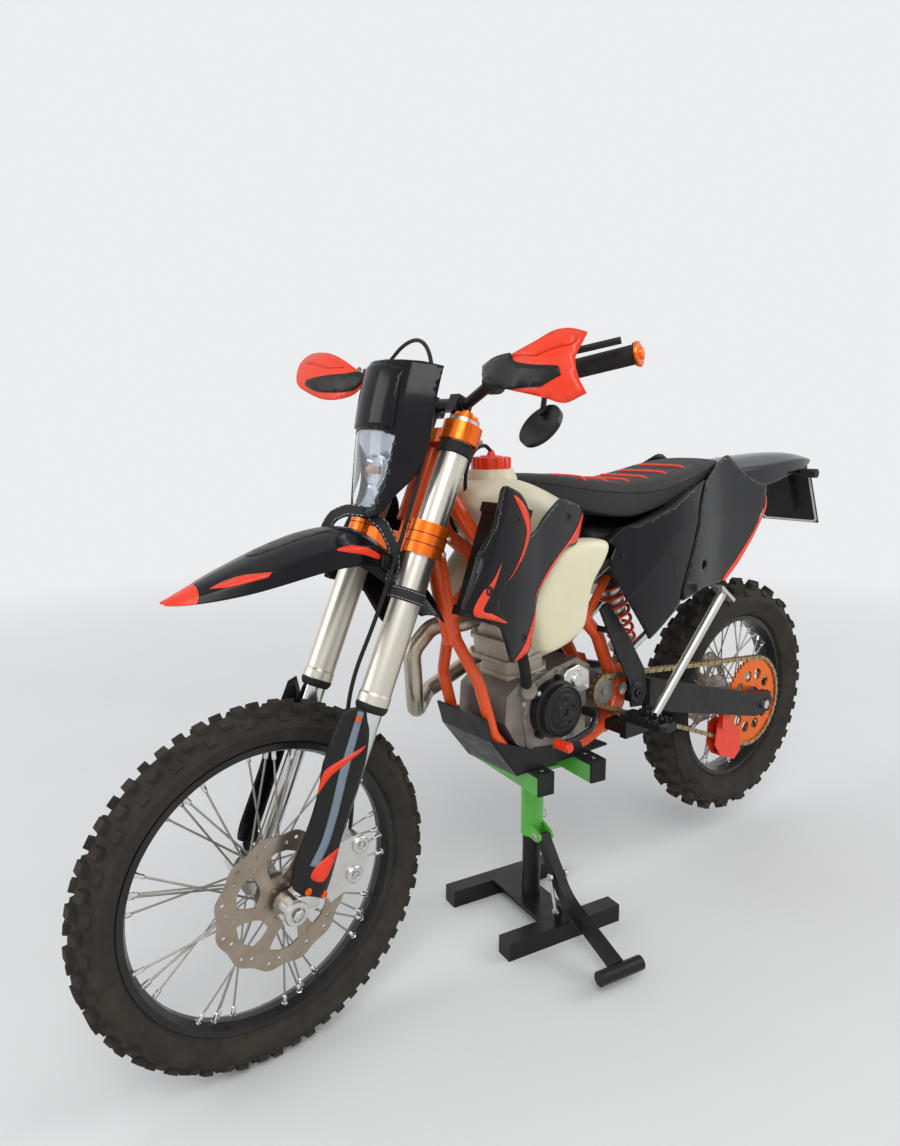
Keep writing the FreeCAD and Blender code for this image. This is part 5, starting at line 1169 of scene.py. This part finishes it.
turned_piece("ForkBandStrap", M["webbing"], "front_end", fork(FORK_X, FORK_SIDE, 578), STEER_UP,
             [(29.1, 0), (31.4, 0.6), (31.4, 24.4), (29.1, 25)], 40)
stitches = Kit()
STITCH_ROUND = 31.7
for z in (582, 599):
    for k in range(30):
        ends = []
        for turn in (k * math.pi / 15, k * math.pi / 15 + 0.11):
            x, y = STITCH_ROUND * math.cos(turn), STITCH_ROUND * math.sin(turn)
            ends.append(fork(FORK_X + x, FORK_SIDE + y, z))
        stitches.tube(ends, 0.55, 6, 1)
stitches.make("ForkBandStitches", M["thread"], "front_end")

# Webbing loop over the back of the fender.
LOOP = (
    (132, -58, 640), (146, -50, 668), (150, -34, 692), (140, -8, 711), (112, 18, 718), (82, 42, 703),
    (58, 60, 672), (46, 66, 638), (44, 66, 604))
LOOP_FACE = Vector((0.75, 0.6, 0.25))
LOOP_HALF = 0.012
rows, threads = [], Kit()
path = [fork(*p) for p in LOOP]
for i, p in enumerate(path):
    way = (path[min(i + 1, len(path) - 1)] - path[max(i - 1, 0)]).normalized()
    across = way.cross(LOOP_FACE).normalized() * LOOP_HALF
    rows.append([p - across, p, p + across])
cage("FenderStrap", rows, M["webbing"], "front_end", rise=3, thick=2, closed=False, toward=LOOP_FACE)
over = LOOP_FACE.normalized() * 0.0014
for share in (0.12, 0.88):
    for row, after in zip(rows, rows[1:]):
        first, last = row[0].lerp(row[2], share), after[0].lerp(after[2], share)
        for k in range(4):
            threads.tube([first.lerp(last, t) + over for t in (k / 4, k / 4 + 0.14)], 0.6, 6, 1)
threads.make("StrapStitches", M["thread"], "front_end")

tree = skin(NODES["front_caliper"])
caliper = Kit()
for x, z in ((-66, 66), (-58, 122)):
    start = fork(x, 200, z)
    if tree.ray_cast(start, Vector((0, -1, 0)))[0]:
        spot = land(tree, start, (0, -1, 0))
        caliper.turned(spot, LEFTWARD, [(17, -2), (17, 4), (15, 6), (9, 6), (7, 3)], 24)
        caliper.bolt(spot + Vector((0, 0.004, 0)), LEFTWARD, 4, 4)
caliper.make("CaliperCaps", M["steel"], "front_end")

# Engine: cylinder, head and side covers.
LEAN = math.radians(9)
BARREL_X, BARREL_Z = 846, 594
CRANK_X, CRANK_Z = 815, 573
PIVOT_X, PIVOT_Z = 564, 566


def barrel(u, v, w):
    """A place in the cylinder's frame: w up its leaning axis, from the joint with the case."""
    return at(BARREL_X + u * math.cos(LEAN) + w * math.sin(LEAN), v,
              BARREL_Z - u * math.sin(LEAN) + w * math.cos(LEAN))


def round_crank(radius, turn, y):
    """A place round the crankshaft's axis."""
    return at(CRANK_X + radius * math.cos(turn), y, CRANK_Z + radius * math.sin(turn))


block = Kit()
BARREL_UP = barrel(0, 0, 1) - barrel(0, 0, 0)
for half, wide, cut, low, high in (
        (70, 80, 22, 0, 14), (56, 66, 26, 12, 60), (60, 70, 24, 58, 70), (56, 66, 26, 68, 98),
        (68, 78, 20, 96, 108), (62, 74, 22, 106, 146), (66, 76, 20, 144, 154), (54, 66, 24, 152, 182)):
    block.plate(chamfered(half, wide, cut), low, high, barrel, bevel=3)
block.turned(barrel(-6, 60, 38), LEFTWARD, [(26, 0), (26, 14), (22, 18), (10, 18), (8, 15)], 28)
block.turned(barrel(20, 68, 126), LEFTWARD, [(17, 0), (17, 10), (14, 13), (6, 13)], 24)
block.turned(barrel(-50, 0, 128), (-1, 0, 0.25), [(30, 0), (30, 22), (26, 24)], 28)
for u in (-56, 56):
    for v in (-66, 66):
        block.bolt(barrel(u, v, 108), BARREL_UP, 6, 8)
        block.bolt(barrel(u * 0.86, v * 0.9, 154), BARREL_UP, 4.5, 6)
block.make("CylinderBlock", M["barrel"], "chassis", replaces=["cylinder"])


def beside(u, v, w):
    """A place w to the left of the middle plane."""
    return at(u, w, v)


side_cover = Kit()
side_cover.plate(
    [(712, 640), (800, 664), (872, 640), (900, 566), (884, 486), (806, 468), (736, 486), (706, 560)], 60,
    83, beside, 3)
for x, z in (
        (722, 632), (800, 655), (864, 634), (892, 566), (876, 494), (806, 477), (744, 494), (716, 560)):
    side_cover.bolt(at(x, 82.6, z), LEFTWARD, 4, 4.5)
side_cover.turned(at(880, 70, 622), (0.5, 1, 0.2), [(20, 0), (20, 22), (16, 26), (8, 26)], 24)
side_cover.make("CrankCover", M["case"], "chassis")
tube_piece("WaterHose", M["rubber"], "chassis", [
    at(892, 84, 640), at(912, 100, 676), at(930, 104, 730), at(946, 96, 790), at(960, 84, 840)], 12, 20)
cover = Kit()
cover.plate([(806, 626), (780, 656), (744, 664), (708, 644), (704, 604), (728, 592), (772, 606)], 70, 100,
            beside, 5, segments=3)
for x, z in ((794, 628), (744, 652), (716, 606)):
    cover.bolt(at(x, 99, z), LEFTWARD, 4.5, 5)
cover.turned(at(752, 98, 628), LEFTWARD, [(16, 0), (16, 6), (13, 9), (5, 9), (4, 7)], 28)
cover.make("StarterCover", M["alloy"], "chassis")
hub = Kit()
hub.turned(round_crank(0, 0, 121), LEFTWARD, [
    (40, 0), (40, 4), (37, 6), (22, 6), (20, 8), (9, 8), (8, 5)], 40)
hub.turned(round_crank(0, 0, 118), LEFTWARD, [(59, 0), (59, 4.5), (57, 6), (54, 6), (53, 4)], 48)
for k in range(5):
    hub.bolt(round_crank(30, math.radians(20 + 72 * k), 127), LEFTWARD, 3.4, 3)
hub.make("IgnitionHub", M["satin_black"], "chassis")
tree = skin(NODES["engine_covers"])
studs = Kit()
for k in range(36):
    turn = math.radians(10 * k)
    hit, beyond = (
        tree.ray_cast(round_crank(72, a, 220), Vector((0, -1, 0)))[0] for a in (turn, turn + 0.12))
    if hit and not beyond:
        studs.bolt(hit, LEFTWARD, 4.5, 5)
studs.make("CoverBolts", M["steel"], "chassis")
tube_piece("IntakeBoot", M["rubber"], "chassis", [
    at(792, 0, 716), at(750, 0, 738), at(710, 0, 760), at(670, 0, 790)],
           lambda t: 33 + 3 * math.cos(t * 40), 28, 8)
cage("AirBox", [
    loop(*row)
    for row in (
        (690, 60, 900, 975), (650, 92, 850, 968), (560, 106, 800, 972), (460, 104, 800, 1000),
        (392, 84, 850, 1030))], M["matt_black"], "chassis")
turned_piece("ShiftTip", M["orange_plastic"], "chassis", at(848, 134, 512), LEFTWARD,
             [(9, 0), (11.5, 2), (11.5, 40), (9, 43)], 20)
for tag, side in SIDES:
    boss = Kit()
    for y, profile, steps in (
            (114, [(26, 0), (26, 8), (22, 11), (12, 11), (11, 8)], 32),
            (122, [(10, 0), (10, 6), (8, 8), (6, 8), (5, 5)], 6)):
        boss.turned(at(PIVOT_X, side * y, PIVOT_Z), (0, side, 0), profile, steps)
    boss.make("PivotCap" + tag, M["satin_black"], "chassis")

# Lift stand: bright links, bolts and rivets.
LINK_LOW, LINK_HIGH = (130, 74), (106, 146.6)
SLEEVE_BOLT = (44, 222)
bright = Kit()
for k in (-1, 1):
    bright.tube([lift(k * 21, *LINK_LOW), lift(k * 21, 118, 110.3), lift(k * 21, *LINK_HIGH)], 4.2, 14, 1)
    across = lift(k, 0, 0) - lift(0, 0, 0)
    for y, z in (LINK_LOW, LINK_HIGH):
        bright.turned(lift(k * 17.6, y, z), across, [(8, 0), (9.2, 0.8), (9.2, 6), (8, 6.8)], 24)
        bright.bolt(lift(k * 24.4, y, z), across, 5, 4)
    bright.bolt(lift(k * 20.6, *SLEEVE_BOLT), across, 6.5, 6)
    for y in (-136, -104, 104, 136):
        bright.turned(lift(k * 74, y, 435.6), (0, 0, 1), [(5.5, 0), (5.2, 0.9), (3.5, 1.5), (1, 1.6)], 16)
bright.turned(lift(-34, 0, 262), lift(1, 0, 0) - lift(0, 0, 0), [(4, 0), (4, 10), (3, 11)], 12)
ring = [lift(-36, 9 * math.cos(k), 252 + 11 * math.sin(k)) for k in (math.pi * i / 5 for i in range(10))]
bright.tube(ring, 1.1, 8, 2, closed=True)
bright.make("StandLinks", M["steel"], "chassis")

# Floor, world and lamps.
BACKDROP = (0.84, 0.85, 0.86)


def lay_floor():
    """A pale floor that fades into the backdrop away from the bike."""
    bpy.ops.mesh.primitive_circle_add(vertices=64, radius=60, fill_type="NGON", location=(0, 0, 0))
    floor = bpy.context.object
    floor.name = "Floor"
    mat = finish("FloorPale", (0.74, 0.74, 0.73), 0.8, mottle=(1.5, 0.12), grain=(120, 0.05))
    floor.data.materials.append(mat)
    far = mat.node_tree
    place = far.nodes.new("ShaderNodeTexCoord")
    reach = far.nodes.new("ShaderNodeVectorMath")
    reach.operation = "LENGTH"
    far.links.new(place.outputs["Object"], reach.inputs[0])
    share = ramp(far.nodes, far.links, reach.outputs["Value"], 1.4, 5.5)
    glow = far.nodes.new("ShaderNodeEmission")
    glow.inputs[0].default_value = (*BACKDROP, 1)
    fade = far.nodes.new("ShaderNodeMixShader")
    out = next(n for n in far.nodes if n.type == "OUTPUT_MATERIAL")
    far.links.new(share, fade.inputs[0])
    far.links.new(out.inputs[0].links[0].from_socket, fade.inputs[1])
    far.links.new(glow.outputs[0], fade.inputs[2])
    far.links.new(fade.outputs[0], out.inputs[0])


def set_world():
    """Soft light all round, with the backdrop's colour for the eye and in reflections."""
    world = bpy.data.worlds.new("Studio")
    bpy.context.scene.world = world
    world.use_nodes = True
    nodes, links = world.node_tree.nodes, world.node_tree.links
    nodes.clear()
    out = nodes.new("ShaderNodeOutputWorld")
    seen = nodes.new("ShaderNodeLightPath")
    soft = nodes.new("ShaderNodeBackground")
    soft.inputs[0].default_value = (0.93, 0.96, 1.0, 1)
    soft.inputs[1].default_value = 0.66
    shown = nodes.new("ShaderNodeBackground")
    shown.inputs[0].default_value = (*BACKDROP, 1)
    shown.inputs[1].default_value = 1.0
    either = nodes.new("ShaderNodeMath")
    either.operation = "MAXIMUM"
    links.new(seen.outputs["Is Camera Ray"], either.inputs[0])
    links.new(seen.outputs["Is Glossy Ray"], either.inputs[1])
    mix = nodes.new("ShaderNodeMixShader")
    links.new(either.outputs[0], mix.inputs[0])
    links.new(soft.outputs[0], mix.inputs[1])
    links.new(shown.outputs[0], mix.inputs[2])
    links.new(mix.outputs[0], out.inputs[0])


def set_lamps():
    """Three area lamps, aimed at the bike."""
    for name, spot, size, power in (
            ("Key", (2.6, 3.0, 4.2), 2.6, 110), ("Side", (3.8, -1.6, 2.4), 2.0, 40),
            ("Back", (-3.2, 2.4, 3.0), 2.4, 50)):
        data = bpy.data.lights.new(name, "AREA")
        data.size = size
        data.energy = power
        lamp = bpy.data.objects.new(name, data)
        bpy.context.collection.objects.link(lamp)
        lamp.location = spot
        lamp.rotation_euler = (Vector((0, 0, 0.6)) - Vector(spot)).to_track_quat("-Z", "Y").to_euler()


lay_floor()
set_world()
set_lamps()
bpy.context.scene.view_settings.view_transform = "Standard"
